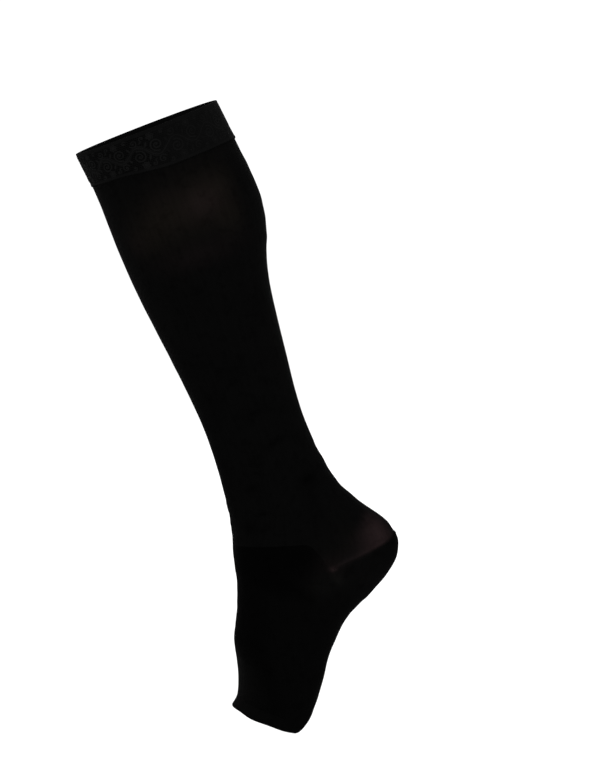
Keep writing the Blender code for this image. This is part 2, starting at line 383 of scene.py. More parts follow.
CREASES = (
    # Across the front of the ankle, where the foot bends.
    Crease(318.0, 8.0, 62.0, 3.6, 0.35, slant=4.0, bow=5.0),
    Crease(329.0, -14.0, 70.0, 3.2, -0.30, slant=-3.0, bow=6.0),
    Crease(341.0, 12.0, 66.0, 4.0, 0.38, slant=5.0, bow=6.0),
    Crease(356.0, -6.0, 58.0, 3.4, -0.22, slant=2.0, bow=5.0),
    # Behind the ankle, where the raised heel gathers the cloth.
    Crease(296.0, 176.0, 58.0, 3.6, -0.34, slant=3.0, bow=-5.0),
    Crease(305.0, 188.0, 66.0, 3.2, 0.36, slant=-4.0, bow=-6.0),
    Crease(315.0, 172.0, 60.0, 3.8, -0.40, slant=4.0, bow=-7.0),
    Crease(324.0, 184.0, 54.0, 3.0, 0.28, slant=-2.0, bow=-6.0),
    # Behind the knee, under the band.
    Crease(47.0, 196.0, 46.0, 3.4, -0.30, slant=6.0, bow=3.0),
    Crease(56.0, 160.0, 52.0, 4.2, 0.26, slant=-5.0, bow=4.0),
    # Slack at the ankle's hidden and outer sides.
    Crease(284.0, 262.0, 48.0, 5.0, -0.26, slant=7.0),
    Crease(276.0, 96.0, 44.0, 5.0, -0.20, slant=-7.0),
    # Under the arch and across the ball of the foot.
    Crease(424.0, 188.0, 62.0, 4.0, -0.36, slant=4.0, bow=6.0),
    Crease(436.0, 176.0, 56.0, 4.0, 0.30, slant=-4.0, bow=5.0),
    Crease(468.0, -22.0, 54.0, 5.0, -0.30, slant=8.0),
    # Short ones on the two sides of the ankle and the shin.
    Crease(314.0, 117.0, 26.0, 3.4, -0.28, slant=-6.0),
    Crease(331.0, 57.0, 20.0, 2.6, -0.24, slant=4.0),
    Crease(304.0, 52.0, 24.0, 2.8, -0.22, slant=-3.0),
    Crease(282.0, 66.0, 18.0, 2.4, -0.20, slant=3.0),
    Crease(246.0, 84.0, 28.0, 2.8, -0.20, slant=-4.0),
    Crease(318.0, 240.0, 28.0, 3.2, -0.26, slant=6.0),
    Crease(334.0, 300.0, 22.0, 2.8, -0.24, slant=-4.0),
    Crease(300.0, 312.0, 24.0, 2.6, -0.20, slant=3.0),
    Crease(252.0, 270.0, 26.0, 2.8, -0.20, slant=4.0),
    Crease(481.0, 246.0, 46.0, 4.4, 0.28, slant=-6.0),
)


# Fullness: stations, and how far the cloth stands off its form there, both in millimetres.
SHIN_FULLNESS = (  # down the shin and over the instep
    (32.5, 0.0), (45.0, -0.1), (59.0, 0.3), (72.0, 0.65), (85.5, 1.0), (99.0, 0.95), (112.0, 0.85),
    (126.0, 0.6), (139.0, 0.4), (152.0, 0.0), (166.5, -0.1), (180.0, 0.1), (194.5, 0.7), (208.0, 0.75),
    (222.5, 0.55), (240.5, 0.5), (254.5, 0.75), (268.0, 1.1), (281.5, 0.9), (294.5, 0.55),
    (312.0, 0.75), (323.0, 1.0), (336.0, 0.4), (348.0, 0.3), (359.5, -0.2), (365.0, -0.4),
    (371.0, -0.3), (383.0, 0.2), (394.0, 0.45), (403.5, 0.7), (411.5, 1.3), (420.0, 1.1), (428.0, 0.35),
    (440.5, 0.3), (447.0, 0.8), (453.0, 1.25), (465.0, 1.25), (477.5, 0.5), (489.5, 0.0), (500.0, 0.0),
)

BACK_FULLNESS = (  # down the calf, round the heel and under the sole
    (60.0, 0.0), (78.5, 0.0), (91.0, 0.2), (103.5, 1.5), (115.5, 1.75), (126.0, 0.35), (137.5, -0.1),
    (150.0, 0.2), (162.5, 0.5), (188.5, 0.8), (214.5, 0.8), (253.5, 0.85), (272.0, 0.6), (289.0, 0.6),
    (303.0, 0.5), (312.5, 1.4), (317.0, 0.9), (321.5, -0.1), (329.0, -1.2), (336.5, -0.1), (340.0, 0.5),
    (344.0, 1.0), (351.5, 1.15), (356.0, 0.85), (360.5, -0.6), (368.5, 0.1), (377.0, 1.6), (385.5, 1.3),
    (394.5, -0.35), (401.0, -0.35), (410.0, 0.95), (420.5, 0.85), (438.0, 0.45), (455.0, 0.65),
    (467.0, 1.1), (479.0, 0.65), (496.0, 0.0),
)


@dataclass(frozen=True)
class ClothRelief:
    """Everything that moves the knitted cloth off its smooth form."""

    form: StockingForm
    creases: tuple[Crease, ...] = CREASES
    band_pull: float = -0.1  # the band draws the leg in just below it
    band_pull_drop: float = 2.0  # how far below the band's seam it draws most
    band_pull_reach: float = 5.0
    gore_height: float = 0.25
    gore_reach: float = 0.9
    gore_early: float = 2.0  # degrees before the heel's side point at which the gore line begins
    gore_fade: float = 8.0  # degrees over which it fades in
    gore_radius: float = 50.0  # the heel's usual radius, which turns a slope by angle into one by length
    shin_full: float = 30.0  # degrees up to which the shin's fullness is whole
    shin_end: float = 80.0
    back_start: float = 80.0  # degrees at which the back's fullness begins
    back_full: float = 145.0

    def drape(self, station: Array, angle: Array) -> Array:
        """Lift of the whole wall: its folds and its fullness."""
        return self.folds(station, angle) + self.fullness(station, angle)

    def folds(self, station: Array, angle: Array) -> Array:
        """Sum of the creases and the pull of the band."""
        below_band = station - self.form.band_seam(angle)
        lift = self.band_pull * bell(below_band - self.band_pull_drop, self.band_pull_reach)
        for crease in self.creases:
            lift = lift + crease.lift(station, angle)
        return lift

    def fullness(self, station: Array, angle: Array) -> Array:
        """Lift down the shin and down the back: curves through the stated rows that fade at the sides."""
        folded = self.form.folded(angle)
        at_shin = 1.0 - smooth_step(math.radians(self.shin_full), math.radians(self.shin_end), folded)
        at_back = smooth_step(math.radians(self.back_start), math.radians(self.back_full), folded)
        lift = np.zeros(np.broadcast_shapes(station.shape, angle.shape))
        for table, share in ((SHIN_FULLNESS, at_shin), (BACK_FULLNESS, at_back)):
            rows, lifts = np.array(table).T
            lift = lift + monotone_curve(rows, lifts, np.clip(station, rows[0], rows[-1])) * share
        return lift

    def gore_mark(self, station: Array, angle: Array) -> Array:
        """Nearness to the gore line, from 0 to 1, in millimetres measured square to it."""
        turn = 0.01
        rise = self.form.gore_line(angle + turn) - self.form.gore_line(angle - turn)
        slope = rise / (2.0 * turn * self.gore_radius)
        square = (station - self.form.gore_line(angle)) / np.sqrt(1.0 + slope**2)
        start = math.radians(self.form.heel_point_angle - self.gore_early)
        shown = smooth_step(start, start + math.radians(self.gore_fade), self.form.folded(angle))
        return bell(square, self.gore_reach) * shown

    def face(self, station: Array, angle: Array) -> Array:
        """Lift of the outer face alone: the ridge along the gore line."""
        return self.gore_height * self.gore_mark(station, angle)


# ---------------------------------------------------------------------------------------------------------
# Tone of the knitting
# ---------------------------------------------------------------------------------------------------------


@dataclass(frozen=True)
class Patch:
    """An area of tone with soft edges, the same on both sides of the leg."""

    station: float
    angle: float  # degrees
    along: float  # reach in millimetres of station
    around: float  # reach in degrees
    strength: float
    slant: float = 0.0  # millimetres of station for each radian around

    def tone(self, station: Array, folded: Array) -> Array:
        """Strength times a bell along and a bell around."""
        away = folded - math.radians(self.angle)
        along = station - self.station - self.slant * away
        return self.strength * bell(along, self.along) * bell(away, math.radians(self.around))


CALF_SHEER = (
    Patch(68.0, 86.0, 23.0, 44.0, 0.85, slant=-5.0),
    Patch(60.0, 113.0, 15.0, 19.0, 0.33),
    Patch(81.0, 48.0, 15.0, 18.0, 0.30),
    Patch(88.0, 117.0, 12.0, 13.0, 0.48),
    Patch(66.0, 65.0, 13.0, 14.0, 0.22),
)

CALF_ROSY = (
    Patch(68.0, 101.0, 12.0, 14.0, 0.30),
    Patch(106.0, 84.0, 10.0, 34.0, 0.13),
    Patch(84.0, 36.0, 10.0, 11.0, 0.10),
    Patch(52.0, 76.0, 6.0, 12.0, 0.05),
)

# Painted shade of small creases: darker patches down the leg to the ankle.
ANKLE_CREASE_SHADE = (
    Patch(315.0, 117.0, 10.0, 14.0, 0.34),
    Patch(342.0, 43.0, 9.0, 13.0, 0.50),
    Patch(306.0, 50.0, 9.0, 16.0, 0.25),
    Patch(284.0, 12.0, 44.0, 16.0, 0.40),
    Patch(280.0, 124.0, 6.0, 8.0, 0.35),
    Patch(342.0, 110.0, 15.0, 8.0, 0.30),
    Patch(228.0, 40.0, 15.0, 13.0, 0.35),
    Patch(246.0, 86.0, 6.0, 18.0, 0.20),
    Patch(192.0, 35.0, 13.0, 14.0, 0.25),
    Patch(206.0, 80.0, 9.0, 24.0, 0.20),
    Patch(166.0, 128.0, 12.0, 12.0, 0.30),
)

FAINT_SHEER = (
    Patch(34.0, 100.0, 7.0, 38.0, 0.14),  # just under the band
    Patch(366.0, 124.0, 17.0, 17.0, 0.16),  # above the heel's side point
    Patch(389.0, 120.0, 3.5, 6.0, 0.38, slant=30.0),  # a short fork past that point
    Patch(395.0, 108.0, 11.0, 14.0, 0.28),  # below it
    Patch(388.0, 142.0, 17.0, 24.0, 0.17),  # on the heel pocket's side
)

HEEL_POINT_ROSY = (
    Patch(382.5, 114.5, 1.5, 2.2, 0.9),
    Patch(379.0, 113.0, 6.5, 9.0, 0.11),
)


def tone_of(patches: tuple[Patch, ...], station: Array, folded: Array) -> Array:
    """Sum of the patches' tones."""
    return sum(patch.tone(station, folded) for patch in patches)


@dataclass(frozen=True)
class ToneMap:
    """How the knitting's tone changes where it is stretched sheer or knitted close, with painted shade and a
    painted highlight.

    A pair of numbers is where a tone starts to change and where it has changed, in degrees around or in
    millimetres along.
    """

    form: StockingForm
    calf_end: tuple[float, float] = (121.0, 143.0)  # where the calf's sheer patches end
    calf_top: tuple[float, float] = (-2.0, 13.0)  # below the band's seam, where they begin
    heel_middle: float = 146.0  # degrees, the middle of the heel's rosy patch
    heel_around: float = 15.0
    heel_base: tuple[float, float] = (-0.3, 1.4)  # above the gore line, where the heel's rosy patch begins
    heel_top: tuple[float, float] = (9.0, 21.0)  # where it ends
    highlight_start: tuple[float, float] = (113.0, 118.0)  # where the painted highlight along the gore line begins
    highlight_end: tuple[float, float] = (136.0, 156.0)
    highlight_sheer: tuple[float, float, float] = (0.34, 1.6, 2.6)  # its strength, height above the line, reach
    highlight_rosy: tuple[float, float, float] = (0.13, 1.2, 2.0)
    trough_shade: float = 0.5  # how much painted shade darkens a crease's trough
    trough_depth: tuple[float, float] = (0.04, 0.28)
    instep_side: tuple[float, float] = (96.0, 112.0)  # where the instep's close knitting ends at the sides
    instep_end: tuple[float, float] = (398.0, 416.0)  # stations where its darkest part ends
    foot_close: float = 0.6  # how close the strip down the top of the foot is
    foot_side: tuple[float, float] = (38.0, 60.0)

    def gore_highlight(self, above: Array, folded: Array, strip: tuple[float, float, float]) -> Array:
        """Painted highlight, a pale strip beside the heel's gore line: a bell across it, fading in and out
        around the heel.

        Args:
            above: millimetres above the gore line.
            folded: angles from the shin.
            strip: the strip's strength, its height above the line and its reach.

        Returns:
            The strip's tone.
        """
        strength, height, reach = strip
        begun = smooth_step(*np.radians(self.highlight_start), folded)
        ended = smooth_step(*np.radians(self.highlight_end), folded)
        return strength * (bell(above - height, reach) * begun) * (1.0 - ended)

    def sheer(self, station: Array, angle: Array) -> Array:
        """Sheer patches over the calf and, faintly, under the band and around the heel's side point, and a
        painted highlight along the heel's gore line.
        """
        folded = self.form.folded(angle)
        calf = tone_of(CALF_SHEER, station, folded) * (1.0 - smooth_step(*np.radians(self.calf_end), folded))
        calf = calf * smooth_step(*self.calf_top, station - self.form.band_seam(angle))
        # Painted highlight along the gore line.
        seam = self.gore_highlight(self.form.gore_line(angle) - station, folded, self.highlight_sheer)
        return np.clip(calf + tone_of(FAINT_SHEER, station, folded) + seam, 0.0, 1.0)

    def rosy(self, station: Array, angle: Array) -> Array:
        """Rosy patches: on the calf, above the heel's gore line and at its side point, and a painted
        highlight along the line.
        """
        folded = self.form.folded(angle)
        above = self.form.gore_line(angle) - station
        heel = smooth_step(*self.heel_base, above) * (1.0 - smooth_step(*self.heel_top, above))
        heel = heel * bell(folded - math.radians(self.heel_middle), math.radians(self.heel_around))
        # Painted highlight along the gore line.
        seam = self.gore_highlight(above, folded, self.highlight_rosy)
        return np.clip(tone_of(CALF_ROSY + HEEL_POINT_ROSY, station, folded) + heel + seam, 0.0, 1.0)

    def close(self, station: Array, angle: Array, folds: Array) -> Array:
        """Painted shade on the leg: darker patches down to the ankle, and darker troughs of creases."""
        patches = tone_of(ANKLE_CREASE_SHADE, station, self.form.folded(angle))
        # Painted shade: a crease's trough is darker where it dips below the surface.
        return patches + self.trough_shade * smooth_step(*self.trough_depth, -folds)

    def instep(self, station: Array, angle: Array) -> Array:
        """Close knitting on the foot: darkest where it starts, then a strip down its top."""
        folded = self.form.folded(angle)
        over_instep = 1.0 - smooth_step(*np.radians(self.instep_side), folded)
        over_instep = over_instep * (1.0 - smooth_step(*self.instep_end, station))
        down_foot = self.foot_close * (1.0 - smooth_step(*np.radians(self.foot_side), folded))
        return np.maximum(over_instep, down_foot)


# ---------------------------------------------------------------------------------------------------------
# Meshes
# ---------------------------------------------------------------------------------------------------------


class Rim(Enum):
    """How a wall of cloth ends."""

    FLUSH = "meets the next piece face to face"
    ROUND = "a free, rounded edge"


@dataclass
class WallRows:
    """The closed profile of a wall, as rows that are carried around the tube.

    The rows run down the outer face, round the lower rim, up the inner face and round the upper rim. Each
    has a share of the way from the piece's start to its end, an offset from there and a depth below the
    outer face, both in millimetres, and says how far it belongs to the outer face.
    """

    outer_rows: int
    inner_rows: int
    wall: float
    start_rim: Rim
    end_rim: Rim
    rim_rows: int = 5
    flush_support: float = 0.12  # millimetres from a flush rim to the row that keeps it sharp

    def rows(self) -> Array:
        """Rows of share, offset, depth and outerness, as a table of four columns."""
        radius = 0.5 * self.wall
        start_in = radius if self.start_rim is Rim.ROUND else 0.0
        end_in = radius if self.end_rim is Rim.ROUND else 0.0
        outer = self.face_rows(self.outer_rows, start_in, end_in, depth=0.0, outerness=1.0)
        inner = self.face_rows(self.inner_rows, start_in, end_in, depth=self.wall, outerness=0.0)[::-1]
        end_arc = self.rim_arc(self.end_rim, share=1.0, sign=1.0, inset=end_in)
        start_arc = self.rim_arc(self.start_rim, share=0.0, sign=-1.0, inset=start_in)[::-1]
        return np.concatenate((outer, end_arc, inner, start_arc))

    def face_rows(
        self, count: int, start_in: float, end_in: float, depth: float, outerness: float
    ) -> Array:
        """Rows of one face, with a supporting row beside each flush rim.

        Args:
            count: number of rows, spread evenly.
            start_in: how far the first row is from the start.
            end_in: how far the last row is from the end.
            depth: depth of this face.
            outerness: 1 on the outer face and 0 on the inner.

        Returns:
            The face's rows.
        """
        rows = [(s, start_in * (1.0 - s) - end_in * s) for s in np.linspace(0.0, 1.0, count)]
        if self.start_rim is Rim.FLUSH:
            rows.insert(1, (0.0, start_in + self.flush_support))
        if self.end_rim is Rim.FLUSH:
            rows.insert(-1, (1.0, -end_in - self.flush_support))
        return np.array([(s, offset, depth, outerness) for s, offset in rows])

    def rim_arc(self, rim: Rim, share: float, sign: float, inset: float) -> Array:
        """Rows of a rounded rim, from the outer face to the inner: a half circle as thick as the wall."""
        if rim is Rim.FLUSH:
            return np.zeros((0, 4))
        turn = math.pi * np.arange(1, self.rim_rows + 1) / (self.rim_rows + 1)
        offset = sign * (inset * np.sin(turn) - inset)
        depth = 0.5 * self.wall * (1.0 - np.cos(turn))
        outerness = 0.5 * (1.0 + np.cos(turn))
        return np.stack((np.full_like(turn, share), offset, depth, outerness), axis=-1)


def new_piece(name: str, points: Array, faces: list, corner_uv: Array | None = None) -> bpy.types.Object:
    """Object of one finished piece, at the origin, with its place in its mesh.

    Args:
        name: the piece's name.
        points: its points in millimetres, one in a row.
        faces: its faces, as lists of point numbers.
        corner_uv: two numbers for each corner of each face, in the order of the faces.

    Returns:
        The new object, smooth shaded.
    """
    mesh = bpy.data.meshes.new(name)
    mesh.from_pydata((points * MM).tolist(), [], faces)
    if corner_uv is not None:
        mesh.uv_layers.new(name="knit").data.foreach_set("uv", corner_uv.ravel())
    mesh.shade_smooth()
    mesh.update()
    piece = bpy.data.objects.new(name, mesh)
    bpy.context.scene.collection.objects.link(piece)
    return piece


def mark(piece: bpy.types.Object, name: str, values: Array) -> None:
    """Store one number for each point of a piece, for its material to read."""
    values = np.ascontiguousarray(values, dtype=np.float32).ravel()
    piece.data.attributes.new(name, "FLOAT", "POINT").data.foreach_set("value", values)


@dataclass
class ClothWall:
    """A piece of cloth as a grid: profile rows across, columns of angles around."""

    station: Array
    angle: Array
    lift: Array
    outerness: Array
    closed_ring: bool = True

    @classmethod
    def between(
        cls,
        start: Seam,
        end: Seam,
        angles: Array,
        profile: WallRows,
        relief: Callable[[Array, Array, Array], Array],
        closed_ring: bool = True,
    ) -> "ClothWall":
        """Grid of a wall between two seams.

        Station is start + share (end - start) + offset, and lift is the relief there less the depth. Where
        the seams run together, the offsets shrink with the room between them.

        Args:
            start: station of the first seam at each angle.
            end: station of the second.
            angles: angles of the columns.
            profile: the wall's rows.
            relief: lift of the face at stations, angles and outerness.
            closed_ring: whether the columns go all the way round.

        Returns:
            The wall's grid.
        """
        rows = profile.rows()
        share, offset, depth, outerness = (rows[:, i, None] for i in range(4))
        first, last = start(angles), end(angles)
        room = np.clip((last - first) / OFFSET_ROOM, 0.0, 1.0)
        station = first + share * (last - first) + offset * room
        angle = np.broadcast_to(angles, station.shape)
        outer = np.broadcast_to(outerness, station.shape)
        return cls(station, angle, relief(station, angle, outer) - depth, outer, closed_ring)

    def faces(self) -> Array:
        """Quads that face outwards, joined around the profile and, in a ring, around the tube."""
        rows, columns = self.station.shape
        row = np.arange(rows)[:, None]
        column = np.arange(columns if self.closed_ring else columns - 1)[None, :]
        below, after = (row + 1) % rows, (column + 1) % columns
        row, below = row * columns, below * columns
        corners = (row + column, below + column, below + after, row + after)
        return np.stack(np.broadcast_arrays(*corners), axis=-1).reshape(-1, 4)

    def end_caps(self) -> Array:
        """Quads that close the wall at its first and last columns, where it isn't a ring."""
        rows, columns = self.station.shape
        upper = np.arange(rows // 2 - 1)
        lower = rows - 1 - upper
        first = np.stack((upper + 1, upper, lower, lower - 1), axis=-1) * columns
        last = np.stack((upper, upper + 1, lower - 1, lower), axis=-1) * columns + columns - 1
        return np.concatenate((first, last))

    def build(self, name: str, form: StockingForm) -> bpy.types.Object:
        """Make the piece, with turns around and metres along as its UV map.

        Args:
            name: the piece's name.
            form: the surface that it lies on.

        Returns:
            The piece's object.
        """
        quads = self.faces()
        if not self.closed_ring:
            quads = np.concatenate((quads, self.end_caps()))
        around = (self.angle / TAU).ravel()[quads]
        around = np.where(around < around.max(axis=1, keepdims=True) - 0.5, around + 1.0, around)
        along = (self.station * MM).ravel()[quads]
        points = form.lifted(self.station, self.angle, self.lift).reshape(-1, 3)
        return new_piece(name, points, quads.tolist(), np.stack((around, along), axis=-1))


# ---------------------------------------------------------------------------------------------------------
# Materials
# ---------------------------------------------------------------------------------------------------------


class Number:
    """A number in a material. Arithmetic on it adds Math nodes."""

    def __init__(self, bench: "NodeBench", socket: bpy.types.NodeSocket) -> None:
        """Wrap an output socket."""
        self.bench = bench
        self.socket = socket

    def math(self, operation: str, *others: "Number | float") -> "Number":
        """The Math node of that operation on this number and others."""
        inputs = dict(enumerate((self, *others)))
        made = self.bench.node("ShaderNodeMath", {"operation": operation}, inputs)
        return Number(self.bench, made.outputs[0])

    def __add__(self, other: "Number | float") -> "Number":
        """Sum."""
        return self.math("ADD", other)

    def __sub__(self, other: "Number | float") -> "Number":
        """Difference."""
        return self.math("SUBTRACT", other)

    def __rsub__(self, other: float) -> "Number":
        """Difference from a plain number."""
        return (self * -1.0) + other

    def __mul__(self, other: "Number | float") -> "Number":
        """Product."""
        return self.math("MULTIPLY", other)

    def __truediv__(self, other: "Number | float") -> "Number":
        """Quotient."""
        return self.math("DIVIDE", other)

    def __pow__(self, other: float) -> "Number":
        """Power."""
        return self.math("POWER", other)

    def __abs__(self) -> "Number":
        """Size without sign."""
        return self.math("ABSOLUTE")

    __radd__ = __add__
    __rmul__ = __mul__

    def fraction(self) -> "Number":
        """Part after the decimal point."""
        return self.math("FRACT")

    def rise(self, low: float, high: float) -> "Number":
        """Smooth rise from 0 at low to 1 at high."""
        settings = {"interpolation_type": "SMOOTHSTEP"}
        inputs = {"Value": self, "From Min": low, "From Max": high}
        return Number(self.bench, self.bench.node("ShaderNodeMapRange", settings, inputs).outputs["Result"])


class NodeBench:
    """A material's nodes, with one way to add each kind."""

    def __init__(self, name: str) -> None:
        """Start an empty material with a Principled shader."""
        self.material = bpy.data.materials.new(name)
        self.material.use_nodes = True
        self.tree = self.material.node_tree
        self.tree.nodes.clear()
        self.shader = self.node("ShaderNodeBsdfPrincipled")
        self.node("ShaderNodeOutputMaterial", inputs={"Surface": self.shader.outputs[0]})

    def node(self, kind: str, settings: dict | None = None, inputs: dict | None = None) -> bpy.types.Node:
        """Add a node.

        Args:
            kind: the node's type.
            settings: its properties, set first.
            inputs: values or links of its sockets, by name or number.

        Returns:
            The new node.
        """
        made = self.tree.nodes.new(kind)
        for name, value in (settings or {}).items():
            setattr(made, name, value)
        for name, value in (inputs or {}).items():
            self.feed(made.inputs[name], value)
        return made

    def feed(self, socket: bpy.types.NodeSocket, value: object) -> None:
        """Link a socket to another, or set its value."""
        if isinstance(value, Number):
            value = value.socket
        if isinstance(value, bpy.types.NodeSocket):
            self.tree.links.new(value, socket)
        else:
            socket.default_value = value

    def marked(self, name: str) -> Number:
        """The number stored on a piece's points under a name."""
        return Number(self, self.node("ShaderNodeAttribute", {"attribute_name": name}).outputs["Fac"])

    def knit_place(self) -> tuple[Number, Number]:
        """Turns around the tube and metres along it."""
        uv = self.node("ShaderNodeUVMap", {"uv_map": "knit"}).outputs[0]
        split = self.node("ShaderNodeSeparateXYZ", inputs={0: uv})
        return Number(self, split.outputs[0]), Number(self, split.outputs[1])

    def noise(self, size: float, detail: float) -> Number:
        """Soft noise on the piece's own coordinates, about as coarse as a size in millimetres."""
        place = self.node("ShaderNodeTexCoord").outputs["Object"]
        inputs = {"Vector": place, "Scale": 1.0 / (size * MM), "Detail": detail}
        return Number(self, self.node("ShaderNodeTexNoise", inputs=inputs).outputs["Fac"])

    def blend(self, share: Number, first: object, second: object) -> bpy.types.NodeSocket:
        """Colour between two, by a share."""
        settings = {"data_type": "RGBA", "clamp_factor": True}
        made = self.node("ShaderNodeMix", settings, {0: share, 6: first, 7: second})
        return made.outputs[2]

    def shade(self, colour: bpy.types.NodeSocket, strength: Number) -> bpy.types.NodeSocket:
        """Colour made lighter or darker by a factor."""
        settings = {"operation": "SCALE"}
        return self.node("ShaderNodeVectorMath", settings, {"Vector": colour, "Scale": strength}).outputs[0]

    def bump(self, height: Number, distance: float, strength: float) -> bpy.types.NodeSocket:
        """Bump of a height map, over a distance in millimetres."""
        inputs = {"Height": height, "Distance": distance * MM, "Strength": strength}
        return self.node("ShaderNodeBump", inputs=inputs).outputs[0]

    def dressed(self, colour: object, roughness: object, bump: object, specular: float) -> bpy.types.Material:
        """The material, with its shader's sockets set or linked.

        Args:
            colour: its base colour.
            roughness: its roughness.
            bump: its bump, or None where it is flat.
            specular: its specular level, the same all over.

        Returns:
            The finished material.
        """
        sockets = {"Base Color": colour, "Roughness": roughness, "Specular IOR Level": specular}
        if bump is not None:
            sockets["Normal"] = bump
        for name, value in sockets.items():
            self.feed(self.shader.inputs[name], value)
        return self.material


def grey(level: float, red: float = 1.0, blue: float = 1.0) -> Colour:
    """Dark yarn colour from a level, with its share of red and blue against green."""
    return (level * red, level, level * blue, 1.0)


PALE_SHEER = grey(0.0043, red=1.06, blue=0.96)  # around the heel, less warm than over the calf, and one colour of the painted highlight along the gore line


@dataclass(frozen=True)
class KnitFinish:
    """Fine plain knitting of covered elastic yarn: its loops, and the tone of the stretched cloth.

    Sizes are in millimetres.
    """

    name: str
    body: Colour
    dense_and_shade_tone: Colour  # tone where the knitting is densest, and of the painted shade on the leg
    sheer: Colour = (0.0050, 0.0041, 0.0034, 1.0)  # tone where it is stretched sheer
    rosy: Colour = (0.0124, 0.0080, 0.0084, 1.0)  # tone of its warmest sheer patches
    course: float = 0.42  # height of a row of loops
    relief: float = 0.1
    relief_strength: float = 0.6
    loop_roundness: float = 0.6
    loop_low: float = 0.55  # height of a loop's legs where two courses meet
    mottle_size: float = 6.5
    mottle_rise: tuple[float, float] = (0.47, 0.75)
    speckle: float = 0.26  # how much the mottle darkens
    cloud_size: float = 17.0
    cloud: float = 0.22
    streak: float = 0.07  # how much single wales differ in tone
    gap_shade: float = 0.72  # painted shade between loops: brightness there
    loop_light: float = 0.36  # painted light on the loops: how much brighter they are
    roughness: float = 0.82
    loop_gloss: float = 0.12
    specular: float = 0.003

    def material(self) -> bpy.types.Material:
        """Make the knitted cloth's material.

        A loop is a V: the course's phase falls by half a course from the wale's edge to its middle. Its
        height is high on the two legs of the V and low between wales and between courses. The height also
        paints shade: the loops lighter, the gaps between them darker.

        Returns:
            The material.
        """
        bench = NodeBench(self.name)
        around, along = bench.knit_place()
        wale = (around * float(WALES)).fraction()
        side = abs(wale * 2.0 - 1.0)
        course = (along / (self.course * MM) + side * 0.5).fraction()
        leg = 1.0 - abs(side * 2.0 - 1.0)
        middle = 1.0 - abs(course * 2.0 - 1.0) ** 2.0
        loop = leg ** self.loop_roundness * (self.loop_low + (1.0 - self.loop_low) * middle)
        mottle = bench.noise(self.mottle_size, detail=3.0).rise(*self.mottle_rise)
        cloudy = bench.noise(self.cloud_size, detail=1.0) - 0.5
        # Darker where the knitting is dense, and where the leg has painted shade.
        tone = bench.blend(bench.marked("dense_and_shade"), self.body, self.dense_and_shade_tone)
        tone = bench.blend(bench.marked("sheer"), tone, self.sheer)
        tone = bench.blend(bench.marked("rosy"), tone, self.rosy)
        # Painted shade: the gaps between loops darker and the loops lighter; the mottle darkens at random.
        shading = (self.gap_shade + self.loop_light * loop) * (1.0 - self.speckle * mottle)
        shading = shading * (1.0 + self.streak * bench.marked("streak") + self.cloud * cloudy)
        bump = bench.bump(loop, self.relief, self.relief_strength)
        gloss = self.roughness - self.loop_gloss * loop
        return bench.dressed(bench.shade(tone, shading), gloss, bump, self.specular)


@dataclass(frozen=True)
class LaceFinish:
    """Elastic lace: raised satin threads on a fine net. Sizes are in millimetres."""

    name: str = "black_lace"
    thread: Colour = grey(0.0042)
    net: Colour = grey(0.0024)
    hole: Colour = grey(0.0007)
    thread_rise: tuple[float, float] = (0.15, 0.6)
    mesh_around: int = 210  # holes of the net around the band
    mesh_height: float = 1.55
    hole_squareness: float = 2.4
    hole_edge: tuple[float, float] = (0.35, 0.8)
    rib_pitch: float = 0.7  # fine ribs of the satin threads
    rib_slant: float = 160.0  # ribs gained in one turn around the band
    rib_shade: float = 0.25
    rib_height: float = 0.35
    cloud_size: float = 9.0
    cloud: float = 0.5
    relief: float = 0.22
    relief_strength: float = 0.7
    roughness: float = 0.8
    thread_gloss: float = 0.2
    specular: float = 0.008

    def material(self) -> bpy.types.Material:
        """Make the lace's material.

        The net's holes stand in a brick order: each second row is half a hole along. A hole is dark within
        a rounded square and the bars between holes stand up. Satin threads have fine ribs across them.

        Returns:
            The material.
        """
        bench = NodeBench(self.name)
        around, along = bench.knit_place()
        thread, bare = bench.marked("thread"), bench.marked("bare")
        row = along / (self.mesh_height * MM)
        odd = (row * 0.5).fraction().math("GREATER_THAN", 0.5)
        across = abs((around * float(self.mesh_around) + odd * 0.5).fraction() * 2.0 - 1.0)
        down = abs(row.fraction() * 2.0 - 1.0)
        hole = 1.0 - (across ** self.hole_squareness + down ** self.hole_squareness).rise(*self.hole_edge)
        hole = hole * bare
        satin = abs((along / (self.rib_pitch * MM) + around * self.rib_slant).fraction() * 2.0 - 1.0)
        ground = bench.blend(hole, self.net, self.hole)
        tone = bench.blend(thread.rise(*self.thread_rise), ground, self.thread)
        cloudy = bench.noise(self.cloud_size, detail=2.0) - 0.5
        shading = (1.0 + self.cloud * cloudy) * (1.0 - self.rib_shade * satin * thread)
        height = thread * satin * self.rib_height - hole
        bump = bench.bump(height, self.relief, self.relief_strength)
        gloss = self.roughness - self.thread_gloss * thread
        return bench.dressed(bench.shade(tone, shading), gloss, bump, self.specular)


@dataclass(frozen=True)
class ThreadFinish:
    """Twisted sewing thread. Sizes are in millimetres."""

    name: str = "black_sewing_thread"
    light: float = 0.0028
    dark: float = 0.0014
    ply_size: float = 0.35
    ply_rise: tuple[float, float] = (0.3, 0.7)
    relief: float = 0.1
    relief_strength: float = 0.5
    roughness: float = 0.7
    specular: float = 0.008

    def material(self) -> bpy.types.Material:
        """Make the thread's material: fine noise in its tone and height stands for the ply."""
        bench = NodeBench(self.name)
        ply = bench.noise(self.ply_size, detail=1.0)
        tone = bench.blend(ply.rise(*self.ply_rise), grey(self.light), grey(self.dark))
        bump = bench.bump(ply, self.relief, self.relief_strength)
        return bench.dressed(tone, self.roughness, bump, self.specular)


# ---------------------------------------------------------------------------------------------------------
# The lace's design, drawn flat
# ---------------------------------------------------------------------------------------------------------


def cord(distance: Array, half_width: Array | float) -> Array:
    """Round cord: height sqrt(1 - (d/w)^2) at a distance from its middle line, 0 outside it."""
    return np.sqrt(np.clip(1.0 - (distance / half_width) ** 2, 0.0, 1.0))


class Twist(Enum):
    """Which way a curl winds inwards."""

    LEFT = 1.0
    RIGHT = -1.0


